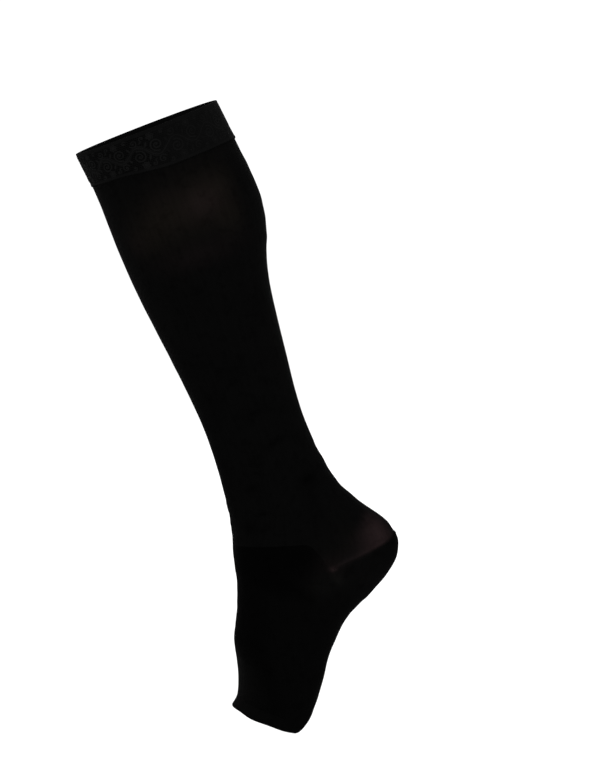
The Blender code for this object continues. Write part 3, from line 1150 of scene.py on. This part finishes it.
@dataclass(frozen=True)
class Curl:
    """A spiral of cord that winds in to a bead. Lengths are in millimetres and angles in degrees."""

    x: float
    y: float
    radius: float
    turns: float
    start: float
    twist: Twist
    half_width: float = 0.62
    bead: float = 1.5  # the bead's radius for each millimetre of half width
    root: float = 1.15  # the cord's width where it starts
    taper: float = 0.4  # and how much narrower it is at the middle
    arm_end: float = 0.86  # share of the way in at which the cord ends

    def height(self, x: Array, y: Array) -> Array:
        """Cord around r = R (1 - (a + n) / turns), for each whole turn n, and a bead in the middle."""
        away = np.hypot(x, y)
        turn = (self.twist.value * np.arctan2(y, x) - math.radians(self.start)) / TAU % 1.0
        best = cord(away, self.bead * self.half_width)
        for whole in range(math.ceil(self.turns)):
            along = (turn + whole) / self.turns
            arm = self.radius * (1.0 - along)
            thread = cord(away - arm, self.half_width * (self.root - self.taper * along))
            best = np.maximum(best, np.where(along < self.arm_end, thread, 0.0))
        return best


@dataclass(frozen=True)
class Flower:
    """A flower of corded petals around a bead."""

    x: float
    y: float
    radius: float
    petals: int
    start: float
    half_width: float = 0.36
    bead: float = 0.22  # sizes for each millimetre of the flower's radius
    petal_out: float = 0.62
    petal_length: float = 0.38
    petal_width: float = 0.27
    outline_height: float = 0.8
    satin_height: float = 0.2

    def height(self, x: Array, y: Array) -> Array:
        """Corded ellipses, flat satin inside them, around a bead."""
        best = cord(np.hypot(x, y), self.bead * self.radius)
        length, width = self.petal_length * self.radius, self.petal_width * self.radius
        for petal in range(self.petals):
            turn = math.radians(self.start) + TAU * petal / self.petals
            out = x * math.cos(turn) + y * math.sin(turn) - self.petal_out * self.radius
            side = y * math.cos(turn) - x * math.sin(turn)
            shape = np.hypot(out / length, side / width)
            outline = self.outline_height * cord((shape - 1.0) * width, self.half_width)
            best = np.maximum(best, np.maximum(outline, self.satin_height * (shape < 1.0)))
        return best


@dataclass(frozen=True)
class Leaf:
    """A pointed satin leaf with a vein."""

    x: float
    y: float
    length: float
    width: float
    turn: float
    dome_height: float = 0.85
    vein_depth: float = 0.55
    vein_reach: float = 0.22
    thinnest: float = 0.1

    def height(self, x: Array, y: Array) -> Array:
        """Dome over |b| < w (1 - (a/l)^2), with a groove along its middle."""
        turn = math.radians(self.turn)
        along = x * math.cos(turn) + y * math.sin(turn)
        side = y * math.cos(turn) - x * math.sin(turn)
        half = 0.5 * self.width * np.clip(1.0 - (2.0 * along / self.length) ** 2, 0.0, 1.0)
        dome = cord(side, np.maximum(half, self.thinnest)) * (half > self.thinnest)
        return self.dome_height * dome * (1.0 - self.vein_depth * bell(side, self.vein_reach))


@dataclass(frozen=True)
class LaceDesign:
    """A vine with curls, flowers and leaves, repeated around the band. Its own design, in millimetres."""

    around: float = 368.0
    repeats: int = 12
    width: float = 34.0
    border: float = 2.6  # plain edge above and below the vine
    border_rise: tuple[float, float] = (-0.2, 0.4)  # around the border's line, where the threads begin
    vine_swing: float = 5.0
    vine_half: float = 0.62
    side_half: float = 0.36  # the thin cords beside the vine
    side_off: float = 1.3
    side_height: float = 0.6
    flower_least: float = 0.15  # height that a flower keeps where the rest is flat
    top_half: float = 1.0  # rib along the top edge
    top_height: float = 0.2
    hem_half: float = 1.3  # rib along the hem
    hem_height: float = 0.26
    flattened: float = 0.6  # how much flatter the threads are towards the back
    flat_from: tuple[float, float] = (68.0, 98.0)  # degrees between which they flatten
    motifs: tuple[Curl | Leaf, ...] = (
        Curl(7.7, 20.2, 5.4, 2.1, 250.0, Twist.LEFT),
        Curl(23.0, 13.8, 5.4, 2.1, 70.0, Twist.LEFT),
        Curl(5.9, 7.5, 3.4, 1.6, 200.0, Twist.RIGHT, 0.5),
        Curl(24.8, 26.5, 3.4, 1.6, 20.0, Twist.RIGHT, 0.5),
        Curl(13.4, 5.7, 2.2, 1.2, 120.0, Twist.LEFT, 0.45),
        Curl(17.3, 28.3, 2.2, 1.2, 300.0, Twist.LEFT, 0.45),
        Curl(29.7, 5.2, 2.1, 1.2, 30.0, Twist.RIGHT, 0.45),
        Curl(1.0, 28.8, 2.1, 1.2, 210.0, Twist.RIGHT, 0.45),
        Leaf(15.0, 11.3, 5.4, 2.0, 112.0),
        Leaf(15.6, 22.7, 5.4, 2.0, 112.0),
        Leaf(0.3, 12.0, 4.6, 1.8, 60.0),
        Leaf(30.3, 22.0, 4.6, 1.8, 60.0),
        Leaf(11.2, 8.6, 3.2, 1.4, 150.0),
        Leaf(19.5, 25.4, 3.2, 1.4, 150.0),
    )
    flowers: tuple[Flower, ...] = (
        Flower(10.6, 28.3, 3.0, 6, 18.0),
        Flower(20.1, 5.7, 3.0, 6, 48.0),
    )

    def unrolled(self, station: Array, angle: Array, form: StockingForm) -> tuple[Array, Array]:
        """Millimetres around the flat band and down from its top edge."""
        top = form.top_edge(angle)
        share = (station - top) / (form.band_seam(angle) - top)
        return angle / TAU * self.around, share * self.width

    def thread(self, x: Array, y: Array, clarity: Array) -> Array:
        """Height of the raised threads, from 0 to 1: the vine, the motifs, the flowers and the edges' ribs.

        The vine is a cord around y = middle - swing sin(2 pi x / repeat), with a thin cord on each side.

        Args:
            x: millimetres around the band.
            y: millimetres down from its top edge.
            clarity: how crisp the vine and its motifs are, from 0 to 1; flowers and edges stay clearer.

        Returns:
            The height.
        """
        pitch = self.around / self.repeats
        wave = TAU * x / pitch
        slope = self.vine_swing * TAU / pitch * np.cos(wave)
        off_vine = (y - 0.5 * self.width + self.vine_swing * np.sin(wave)) / np.sqrt(1.0 + slope**2)
        beside = self.side_height * cord(np.abs(off_vine) - self.side_off, self.side_half)
        best = np.maximum(cord(off_vine, self.vine_half), beside)
        best = np.maximum(best, self.highest(self.motifs, x, y, pitch)) * clarity
        bloom = self.flower_least + (1.0 - self.flower_least) * clarity
        best = np.maximum(best, self.highest(self.flowers, x, y, pitch) * bloom)
        start, end = (self.border + rise for rise in self.border_rise)
        best = best * smooth_step(start, end, np.minimum(y, self.width - y))
        top = self.top_height * cord(y - self.top_half, self.top_half)
        hem = self.hem_height * cord(y - self.width + self.hem_half, self.hem_half)
        return np.maximum(best, np.maximum(top, hem))

    @staticmethod
    def highest(motifs: tuple[Curl | Leaf | Flower, ...], x: Array, y: Array, pitch: float) -> Array:
        """Greatest height of any of the motifs, each repeated at a pitch around the band."""
        best = np.zeros_like(x)
        for motif in motifs:
            near = (x - motif.x + 0.5 * pitch) % pitch - 0.5 * pitch
            best = np.maximum(best, motif.height(near, y - motif.y))
        return best

    def clarity(self, angle: Array, form: StockingForm) -> Array:
        """How crisp the relief is: full over the shin and flatter to the back, where the band is tightest."""
        return 1.0 - self.flattened * smooth_step(*np.radians(self.flat_from), form.folded(angle))


# ---------------------------------------------------------------------------------------------------------
# Stitches
# ---------------------------------------------------------------------------------------------------------


@dataclass(frozen=True)
class StitchRow:
    """A row of sewn stitches: each is a thread that arches between two needle points.

    A stitch is a tube around the line from one point to the other, lifted by h sin(pi t), and it narrows
    to its sunken ends as sin(pi t)^0.4.
    """

    radius: float = 0.2
    rise: float = 0.22
    narrowing: float = 0.4
    sides: int = 6
    steps: int = 6

    def build(self, name: str, form: StockingForm, start: Places, end: Places) -> bpy.types.Object:
        """Make every stitch of a row as one mesh.

        Args:
            name: the piece's name.
            form: the surface that the stitches lie on.
            start: stations, angles and lifts of the first needle points.
            end: the same for the second.

        Returns:
            The row's object.
        """
        count = len(start[0])
        t = (np.arange(self.steps + 2) / (self.steps + 1))[None, :]
        station, angle, lift = (a[:, None] * (1.0 - t) + b[:, None] * t for a, b in zip(start, end))
        line = form.lifted(station, angle, lift + self.rise * np.sin(math.pi * t))
        up = unit(form.lifted(station, angle, lift + 1.0) - form.lifted(station, angle, lift))
        forward = unit(np.gradient(line, axis=1))
        side = unit(np.cross(forward, up))
        up = np.cross(side, forward)
        turn = TAU * np.arange(self.sides) / self.sides
        cosine, sine = np.cos(turn)[:, None], np.sin(turn)[:, None]
        out = cosine * side[:, 1:-1, None, :] + sine * up[:, 1:-1, None, :]
        thick = self.radius * np.sin(math.pi * t[:, 1:-1, None, None]) ** self.narrowing
        tube = (line[:, 1:-1, None, :] + thick * out).reshape(count, -1, 3)
        points = np.concatenate((tube, line[:, :1], line[:, -1:]), axis=1)
        return new_piece(name, points.reshape(-1, 3), self.faces(count))

    def faces(self, count: int) -> list:
        """Quads around each tube and a fan of triangles at each of its two ends."""
        each = self.steps * self.sides + 2
        ring = np.arange(self.sides)
        after = (ring + 1) % self.sides
        step = (np.arange(self.steps - 1) * self.sides)[:, None]
        below = step + self.sides
        quads = np.stack((step + ring, below + ring, below + after, step + after), axis=-1)
        last = (self.steps - 1) * self.sides
        first_fan = np.stack((np.full_like(ring, each - 2), ring, after), axis=-1)
        last_fan = np.stack((np.full_like(ring, each - 1), last + after, last + ring), axis=-1)
        shift = (np.arange(count) * each)[:, None, None]
        quads = (quads.reshape(1, -1, 4) + shift).reshape(-1, 4).tolist()
        fans = (np.concatenate((first_fan, last_fan))[None] + shift).reshape(-1, 3).tolist()
        return quads + fans


# ---------------------------------------------------------------------------------------------------------
# The stocking's pieces
# ---------------------------------------------------------------------------------------------------------


@dataclass(frozen=True)
class Cut:
    """How the cloth lies flat before it is worn: the tube slit open, and slacker than when stretched."""

    girth_share: float = 0.72  # relaxed girth for each millimetre of worn girth
    length_share: float = 0.97
    rows: int = 60  # rows of points on which the worn cloth is measured

    def of(
        self, form: StockingForm, start: Seam, end: Seam, angles: Array
    ) -> tuple[tuple[float, float], float]:
        """Flat width, length and area of a piece, in metres.

        Args:
            form: the surface that the piece lies on.
            start: station of its first seam.
            end: station of its second seam.
            angles: angles of its columns, with the last one closing the piece.

        Returns:
            Width and length of the flat cut, and its area.
        """
        share = np.linspace(0.0, 1.0, self.rows)[:, None]
        station = start(angles) + share * (end(angles) - start(angles))
        point = form.surface(station, np.broadcast_to(angles, station.shape))
        across, down = np.diff(point, axis=1), np.diff(point, axis=0)
        width = np.linalg.norm(across, axis=-1).sum(axis=1).max()
        length = np.linalg.norm(down, axis=-1).sum(axis=0).max()
        worn = np.linalg.norm(np.cross(across[:-1], down[:, :-1]), axis=-1).sum()
        slack = self.girth_share * self.length_share
        flat = (width * self.girth_share * MM, length * self.length_share * MM)
        return flat, min(worn * slack * MM * MM, flat[0] * flat[1])


def wale_streaks(angle: Array, station: Array) -> Array:
    """Random tone of each wale, from -1 to 1, that drifts slowly along it."""
    draws = np.random.default_rng(STREAK_SEED).uniform(-1.0, 1.0, (3, WALES))
    wale = (angle / TAU * WALES).astype(int) % WALES
    drift = 0.5 + 0.5 * np.sin(station / STREAK_DRIFT + TAU * draws[2][wale])
    return draws[0][wale] * drift + draws[1][wale] * (1.0 - drift)


@dataclass
class StockingPiece:
    """What every sewn or knitted piece shares."""

    form: StockingForm
    relief: ClothRelief
    cut: Cut = field(default_factory=Cut)
    columns: int = 240

    def column_angles(self) -> Array:
        """Angles of the columns: even steps, with one at each side point of the heel."""
        point = math.radians(self.form.heel_point_angle)
        even = np.arange(self.columns) * TAU / self.columns
        return np.unique(np.round(np.append(even, (point, TAU - point)), 9))

    def drape(self, station: Array, angle: Array, outerness: Array) -> Array:
        """Lift of knitted cloth: its folds and fullness on both faces and its ridges on the outer one."""
        return self.relief.drape(station, angle) + outerness * self.relief.face(station, angle)

    def finish(self, piece: bpy.types.Object, node: str, slot: str, material: bpy.types.Material) -> None:
        """Give a piece its material, attach it to the root, hide the imported part it stands for, and log it.
        """
        piece.data.materials.append(material)
        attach(piece, "root")
        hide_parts(node)
        self.report(piece)

    def finish_stitches(self, row: bpy.types.Object, slot: str, material: bpy.types.Material) -> None:
        """Give a row of stitches its material, and say what it rides on."""
        row.data.materials.append(material)
        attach(row, "root")
        self.report(row)

    @staticmethod
    def report(piece: bpy.types.Object) -> None:
        """Log a piece and its number of triangles."""
        triangles = sum(len(face.vertices) - 2 for face in piece.data.polygons)
        LOG.info("%s: %d triangles", piece.name, triangles)

    def declare(
        self, piece: bpy.types.Object, start: Seam, end: Seam, angles: Array, **facts: object
    ) -> None:
        """Log a piece's flat cut: its width, length and area."""
        flat, area = self.cut.of(self.form, start, end, angles)
        LOG.info("%s: flat %.3f x %.3f m, %.4f m2", piece.name, *flat, area)


@dataclass
class LaceBand(StockingPiece):
    """The elastic lace band, sewn to the top of the leg."""

    wall: float = 1.5
    proud: float = 0.35
    thread_height: float = 0.38
    columns: int = 880
    outer_rows: int = 84
    inner_rows: int = 9
    cut_columns: int = 241  # columns on which its cut is measured
    seam_gap: float = 0.05  # how far short of the seam the band ends
    flare: float = 0.6  # how far the lower edge stands off behind the knee
    flare_middle: float = 166.0  # degrees
    flare_around: float = 20.0  # degrees
    flare_reach: float = 4.0
    border_rise: float = 1.0  # millimetres over which the bare net begins past the border
    thread_cover: float = 0.3  # height of thread that covers the net
    design: LaceDesign = field(default_factory=LaceDesign)
    stitch_pitch: float = 2.6
    stitch_up: float = 1.1  # how far above the seam a stitch enters the band
    stitch_down: float = 0.8  # how far below it a stitch enters the leg
    lift_on_band: float = 0.1
    lift_on_leg: float = 0.05
    stitches: StitchRow = field(default_factory=StitchRow)

    def lift(self, station: Array, angle: Array, outerness: Array) -> Array:
        """Lift of the band: proud of the leg, with raised threads, and flared at its lower back edge."""
        x, y = self.design.unrolled(station, angle, self.form)
        raised = self.design.thread(x, y, self.design.clarity(angle, self.form))
        away = self.form.folded(angle) - math.radians(self.flare_middle)
        behind = bell(away, math.radians(self.flare_around))
        flare = self.flare * behind * bell(self.design.width - y, self.flare_reach)
        ripple = waves(angle, (0.05, 5.0, 0.8), (0.04, 11.0, 2.0))
        return self.proud + ripple + flare + outerness * self.thread_height * raised

    def build(self) -> None:
        """Make the band and the zigzag row that holds it to the leg."""
        angles = np.arange(self.columns) * TAU / self.columns
        profile = WallRows(self.outer_rows, self.inner_rows, self.wall, Rim.ROUND, Rim.ROUND)
        wall = ClothWall.between(self.form.top_edge, self.seam, angles, profile, self.lift)
        band = wall.build("top_band_lace", self.form)
        self.mark_lace(band, wall)
        self.finish(band, "top_band", "lace_band", LaceFinish().material())
        seam_row = self.seam_stitches()
        closed = np.linspace(0.0, TAU, self.cut_columns)
        self.declare(band, self.form.top_edge, self.form.band_seam, closed, with_pieces=[seam_row])

    def seam(self, angle: Array) -> Array:
        """Station of the band's lower edge."""
        return self.form.band_seam(angle) - self.seam_gap

    def mark_lace(self, band: bpy.types.Object, wall: ClothWall) -> None:
        """Mark where the raised threads are and where the net is bare."""
        x, y = self.design.unrolled(wall.station, wall.angle, self.form)
        clarity = self.design.clarity(wall.angle, self.form)
        thread = self.design.thread(x, y, clarity) * wall.outerness
        edge, inside = self.design.border, np.minimum(y, self.design.width - y)
        net = smooth_step(edge, edge + self.border_rise, inside)
        mark(band, "thread", thread)
        mark(band, "bare", net * clarity * (1.0 - smooth_step(0.0, self.thread_cover, thread)))

    def seam_stitches(self) -> bpy.types.Object:
        """Zigzag over the band's lower edge, from the band down to the leg and back."""
        count = 2 * round(self.design.around / self.stitch_pitch)
        angle = np.arange(count + 1) * TAU / count
        on_band = np.arange(count + 1) % 2 == 0
        station = self.form.band_seam(angle) + np.where(on_band, -self.stitch_up, self.stitch_down)
        band_lift = self.lift(station, angle, np.zeros_like(angle)) + self.lift_on_band
        leg_lift = self.relief.drape(station, angle) + self.lift_on_leg
        places = (station, angle, np.where(on_band, band_lift, leg_lift))
        start, end = tuple(p[:-1] for p in places), tuple(p[1:] for p in places)
        row = self.stitches.build("band_seam_zigzag", self.form, start, end)
        self.finish_stitches(row, "lace_band", ThreadFinish().material())
        return row


@dataclass
class KnittedPiece(StockingPiece):
    """A piece of plain knitting between two seams."""

    wall: float = 0.9

    def mark_knit(self, piece: bpy.types.Object, wall: ClothWall, dense_and_shade: Array) -> None:
        """Mark where the knitting is sheer, rosy and dense, where the leg is in painted shade, and the tone
        of each wale.
        """
        tones = ToneMap(self.form)
        mark(piece, "sheer", tones.sheer(wall.station, wall.angle))
        mark(piece, "rosy", tones.rosy(wall.station, wall.angle))
        mark(piece, "dense_and_shade", np.clip(dense_and_shade, 0.0, 1.0))
        mark(piece, "streak", wale_streaks(wall.angle, wall.station))


@dataclass
class LegTube(KnittedPiece):
    """The leg, from the band seam to the instep and the top of the heel pocket."""

    tucked: float = 1.2  # how far the leg runs up inside the band
    outer_rows: int = 200
    inner_rows: int = 90

    def start(self, angle: Array) -> Array:
        """Station of the leg's top, which is sewn inside the band's lower edge."""
        return self.form.band_seam(angle) - self.tucked

    def build(self) -> None:
        """Make the leg."""
        angles = self.column_angles()
        profile = WallRows(self.outer_rows, self.inner_rows, self.wall, Rim.ROUND, Rim.FLUSH)
        wall = ClothWall.between(self.start, self.form.pocket_top, angles, profile, self.drape)
        leg = wall.build("leg_knit_tube", self.form)
        folds = self.relief.folds(wall.station, wall.angle)
        # On the leg this mark is painted shade: darker crease troughs and darker patches down to the ankle.
        self.mark_knit(leg, wall, ToneMap(self.form).close(wall.station, wall.angle, folds))
        finish = KnitFinish("black_leg_knit", body=grey(0.0016), dense_and_shade_tone=grey(0.0007))
        self.finish(leg, "leg", "leg_knit", finish.material())
        self.declare(leg, self.start, self.form.pocket_top, np.append(angles, TAU))


@dataclass
class HeelPocket(KnittedPiece):
    """The heel pocket, a lens of turned courses between the leg and the foot."""

    tip: float = 0.1  # degrees behind its side point where the cloth starts
    finer: int = 3  # columns of the pocket for each shared one
    rows: int = 96
    dense_rise: tuple[float, float] = (-0.4, 0.8)  # below the gore line, where the close knitting begins
    loop_pitch: float = 1.7
    loop_samples: int = 721  # places at which the gore line's length is measured
    loop_inset: float = 0.5  # degrees behind the side point where the loops start
    loop_lean: float = 0.35  # share of a pitch by which a loop's ends lean apart
    loop_sink: float = 0.12
    loop_reach: float = 0.75  # how far a loop reaches above and below the gore line
    tone_above: float = 1.5  # how far above the gore line its loops take their tone from
    loops: StitchRow = field(default_factory=lambda: StitchRow(radius=0.25, rise=0.18))

    def build(self) -> None:
        """Make the heel pocket."""
        form, angles = self.form, self.pocket_angles()
        profile = WallRows(self.rows, self.rows, self.wall, Rim.FLUSH, Rim.FLUSH)
        top, base = form.pocket_top, form.pocket_base
        wall = ClothWall.between(top, base, angles, profile, self.drape, closed_ring=False)
        heel = wall.build("heel_pocket_knit", form)
        below_gore = wall.station - form.gore_line(wall.angle)
        self.mark_knit(heel, wall, smooth_step(*self.dense_rise, below_gore))
        finish = KnitFinish("black_heel_knit", body=grey(0.0016), dense_and_shade_tone=grey(0.0012), sheer=PALE_SHEER)
        self.finish(heel, "heel_pocket", "heel_knit", finish.material())
        loops = self.gore_loops(heel.data.materials[0])
        self.declare(heel, top, base, angles, with_pieces=[loops])

    def gore_loops(self, material: bpy.types.Material) -> bpy.types.Object:
        """Row of linked loops along the gore line, where the pocket's two halves are joined."""
        form = self.form
        first = form.heel_point_angle + self.loop_inset
        fine = np.radians(np.linspace(first, 360.0 - first, self.loop_samples))
        line = form.surface(form.gore_line(fine), fine)
        run = np.concatenate(((0.0,), np.cumsum(np.linalg.norm(np.diff(line, axis=0), axis=1))))
        places = np.linspace(0.0, run[-1], round(run[-1] / self.loop_pitch))
        angle = np.interp(places, run, fine)
        station = form.gore_line(angle)
        lean = self.loop_lean * (angle[1] - angle[0])
        lift = self.relief.drape(station, angle) + self.relief.face(station, angle) - self.loop_sink
        start = (form.gore_line(angle - lean) - self.loop_reach, angle - lean, lift)
        end = (form.gore_line(angle + lean) + self.loop_reach, angle + lean, lift)
        row = self.loops.build("heel_gore_loops", form, start, end)
        # The loops take their tones from above the gore line, its painted highlight included.
        tones, above = ToneMap(form), station - self.tone_above
        masks = {"sheer": tones.sheer(above, angle), "rosy": tones.rosy(above, angle)}
        masks["dense_and_shade"] = masks["streak"] = np.zeros_like(angle)
        for mask, values in masks.items():
            mark(row, mask, np.repeat(values, len(row.data.vertices) // len(angle)))
        self.finish_stitches(row, "heel_knit", material)
        return row

    def pocket_angles(self) -> Array:
        """Angles of the pocket's columns: the shared ones, each divided, between its two side points."""
        shared = self.column_angles()
        point = math.radians(self.form.heel_point_angle)
        near = 1e-6  # so that rounding keeps the two side points
        inside = shared[(shared > point - near) & (shared < TAU - point + near)]
        step = np.arange(self.finer) / self.finer
        fine = (inside[:-1, None] + step * np.diff(inside)[:, None]).ravel()
        angles = np.append(fine, inside[-1])
        angles[0] += math.radians(self.tip)
        angles[-1] -= math.radians(self.tip)
        return angles


@dataclass
class FootTube(KnittedPiece):
    """The foot, from the instep and the bottom of the heel pocket to the welt."""

    outer_rows: int = 130
    inner_rows: int = 60

    def build(self) -> None:
        """Make the foot."""
        form, angles = self.form, self.column_angles()
        profile = WallRows(self.outer_rows, self.inner_rows, self.wall, Rim.FLUSH, Rim.FLUSH)
        wall = ClothWall.between(form.pocket_base, form.welt_seam, angles, profile, self.drape)
        foot = wall.build("foot_knit_tube", form)
        self.mark_knit(foot, wall, ToneMap(form).instep(wall.station, wall.angle))
        finish = KnitFinish("black_foot_knit", body=grey(0.0011), dense_and_shade_tone=grey(0.0006), sheer=PALE_SHEER)
        self.finish(foot, "foot", "foot_knit", finish.material())
        self.declare(foot, form.pocket_base, form.welt_seam, np.append(angles, TAU))


@dataclass
class ToeWelt(KnittedPiece):
    """The doubled, rounded edge of the toe opening."""

    wall: float = 1.4
    proud: float = 0.3
    proud_rise: float = 1.2  # millimetres past the seam over which it becomes proud
    groove_depth: float = 0.18  # the hem line's groove
    groove_past: float = 1.6
    groove_reach: float = 0.5
    wave_start: float = 0.1  # share of the welt's width where the edge's waves begin
    curl: float = 1.8  # how far the edge curls out at its inner front
    curl_angle: float = 310.0
    curl_around: float = 26.0
    cut: Cut = field(default_factory=lambda: Cut(girth_share=0.8))  # doubled, so it gives less
    outer_rows: int = 26
    inner_rows: int = 9

    def edge(self, angle: Array) -> Array:
        """Station of the welt's edge, which is a little uneven."""
        return self.form.toe_edge(angle) + waves(angle, (0.45, 3.0, 1.1), (0.25, 7.0, 0.4))

    def lift(self, station: Array, angle: Array, outerness: Array) -> Array:
        """Lift of the welt: proud past its seam, with a groove at its hem line, and waved at the edge."""
        past = station - self.form.welt_seam(angle)
        share = smooth_step(0.0, self.proud_rise, past)
        groove = -self.groove_depth * bell(past - self.groove_past, self.groove_reach)
        away = turned_from(angle, math.radians(self.curl_angle))
        wave = waves(angle, (0.35, 4.0, 0.6), (0.2, 9.0, 0.0))
        wave = wave + self.curl * bell(away, math.radians(self.curl_around))
        edge = smooth_step(self.wave_start * self.form.welt_width, self.form.welt_width, past)
        return self.relief.drape(station, angle) + self.proud * share + outerness * groove + wave * edge

    def build(self) -> None:
        """Make the welt."""
        form, angles = self.form, self.column_angles()
        profile = WallRows(self.outer_rows, self.inner_rows, self.wall, Rim.FLUSH, Rim.ROUND)
        wall = ClothWall.between(form.welt_seam, self.edge, angles, profile, self.lift)
        welt = wall.build("toe_welt_knit", form)
        self.mark_knit(welt, wall, np.zeros_like(wall.station))
        finish = KnitFinish("black_toe_welt", body=grey(0.0013), dense_and_shade_tone=grey(0.0009), course=0.6)
        self.finish(welt, "toe_welt", "welt_knit", finish.material())
        self.declare(welt, form.welt_seam, self.edge, np.append(angles, TAU))


# ---------------------------------------------------------------------------------------------------------
# The studio
# ---------------------------------------------------------------------------------------------------------


@dataclass
class Studio:
    """Camera, pale floor and soft white light."""

    azimuth: float = -15.0
    elevation: float = 5.5
    distance: float = 2.5
    aim_right: float = 0.12474  # metres from the origin to what the camera looks at
    aim_up: float = -0.20817
    lens: float = 144.7
    sensor: float = 36.0
    floor_height: float = -0.56
    floor_half: float = 14.0
    floor_colour: Colour = (0.96, 0.96, 0.96, 1.0)
    floor_roughness: float = 0.9
    floor_specular: float = 0.1
    sky: float = 1.1
    lamp_size: float = 1.3
    lamp_aim: tuple[float, float, float] = (0.09, 0.0, -0.24)

    def build(self) -> None:
        """Set up the camera, the floor and the lights."""
        self.place_camera()
        self.lay_floor()
        self.light_sky()
        self.hang_lamp("key_lamp", (-1.1, -2.2, 1.0), 12.0)
        self.hang_lamp("fill_lamp", (1.4, -1.9, 0.4), 7.0)
        self.hang_lamp("back_lamp", (0.8, 2.3, 1.0), 12.0)
        bpy.context.scene.view_settings.view_transform = "Standard"

    def place_camera(self) -> None:
        """Aim the camera at the outer side of the leg, a little from above."""
        turn, lift = math.radians(self.azimuth), math.radians(self.elevation)
        back = Vector((math.sin(turn) * math.cos(lift), -math.cos(turn) * math.cos(lift), math.sin(lift)))
        right = Vector((math.cos(turn), math.sin(turn), 0.0))
        up = back.cross(right)
        lens = bpy.data.cameras.new("camera")
        lens.lens = self.lens
        lens.sensor_width = self.sensor
        camera = bpy.data.objects.new("camera", lens)
        rotation = Matrix((right, up, back)).transposed().to_4x4()
        place = self.aim_right * right + self.aim_up * up + self.distance * back
        camera.matrix_world = Matrix.Translation(place) @ rotation
        bpy.context.scene.collection.objects.link(camera)
        bpy.context.scene.camera = camera

    def lay_floor(self) -> None:
        """Lay a wide white floor just below the toe opening."""
        half = self.floor_half
        corners = [(-half, -half), (half, -half), (half, half), (-half, half)]
        mesh = bpy.data.meshes.new("floor")
        mesh.from_pydata([(x, y, self.floor_height) for x, y in corners], [], [(0, 1, 2, 3)])
        floor = bpy.data.objects.new("floor", mesh)
        bench = NodeBench("pale_floor")
        white = bench.dressed(self.floor_colour, self.floor_roughness, None, self.floor_specular)
        mesh.materials.append(white)
        bpy.context.scene.collection.objects.link(floor)

    def light_sky(self) -> None:
        """Surround everything with even white light."""
        world = bpy.data.worlds.new("studio_sky")
        world.use_nodes = True
        background = world.node_tree.nodes["Background"]
        background.inputs["Color"].default_value = (1.0, 1.0, 1.0, 1.0)
        background.inputs["Strength"].default_value = self.sky
        bpy.context.scene.world = world

    def hang_lamp(self, name: str, place: tuple[float, float, float], watts: float) -> None:
        """Hang a soft square lamp that faces the stocking.

        Args:
            name: the lamp's name.
            place: where it hangs, in metres.
            watts: its power.
        """
        lamp = bpy.data.lights.new(name, "AREA")
        lamp.size = self.lamp_size
        lamp.energy = watts
        hung = bpy.data.objects.new(name, lamp)
        hung.location = place
        aim = Vector(self.lamp_aim) - Vector(place)
        hung.rotation_euler = aim.to_track_quat("-Z", "Y").to_euler()
        bpy.context.scene.collection.objects.link(hung)


def main() -> None:
    """Build the studio and the stocking's pieces, from the top down."""
    logging.basicConfig(level=logging.INFO, format="%(name)s: %(message)s")
    Studio().build()
    form = StockingForm()
    relief = ClothRelief(form)
    for piece in (LaceBand, LegTube, HeelPocket, FootTube, ToeWelt):
        piece(form, relief).build()


if __name__ == "__main__":
    main()
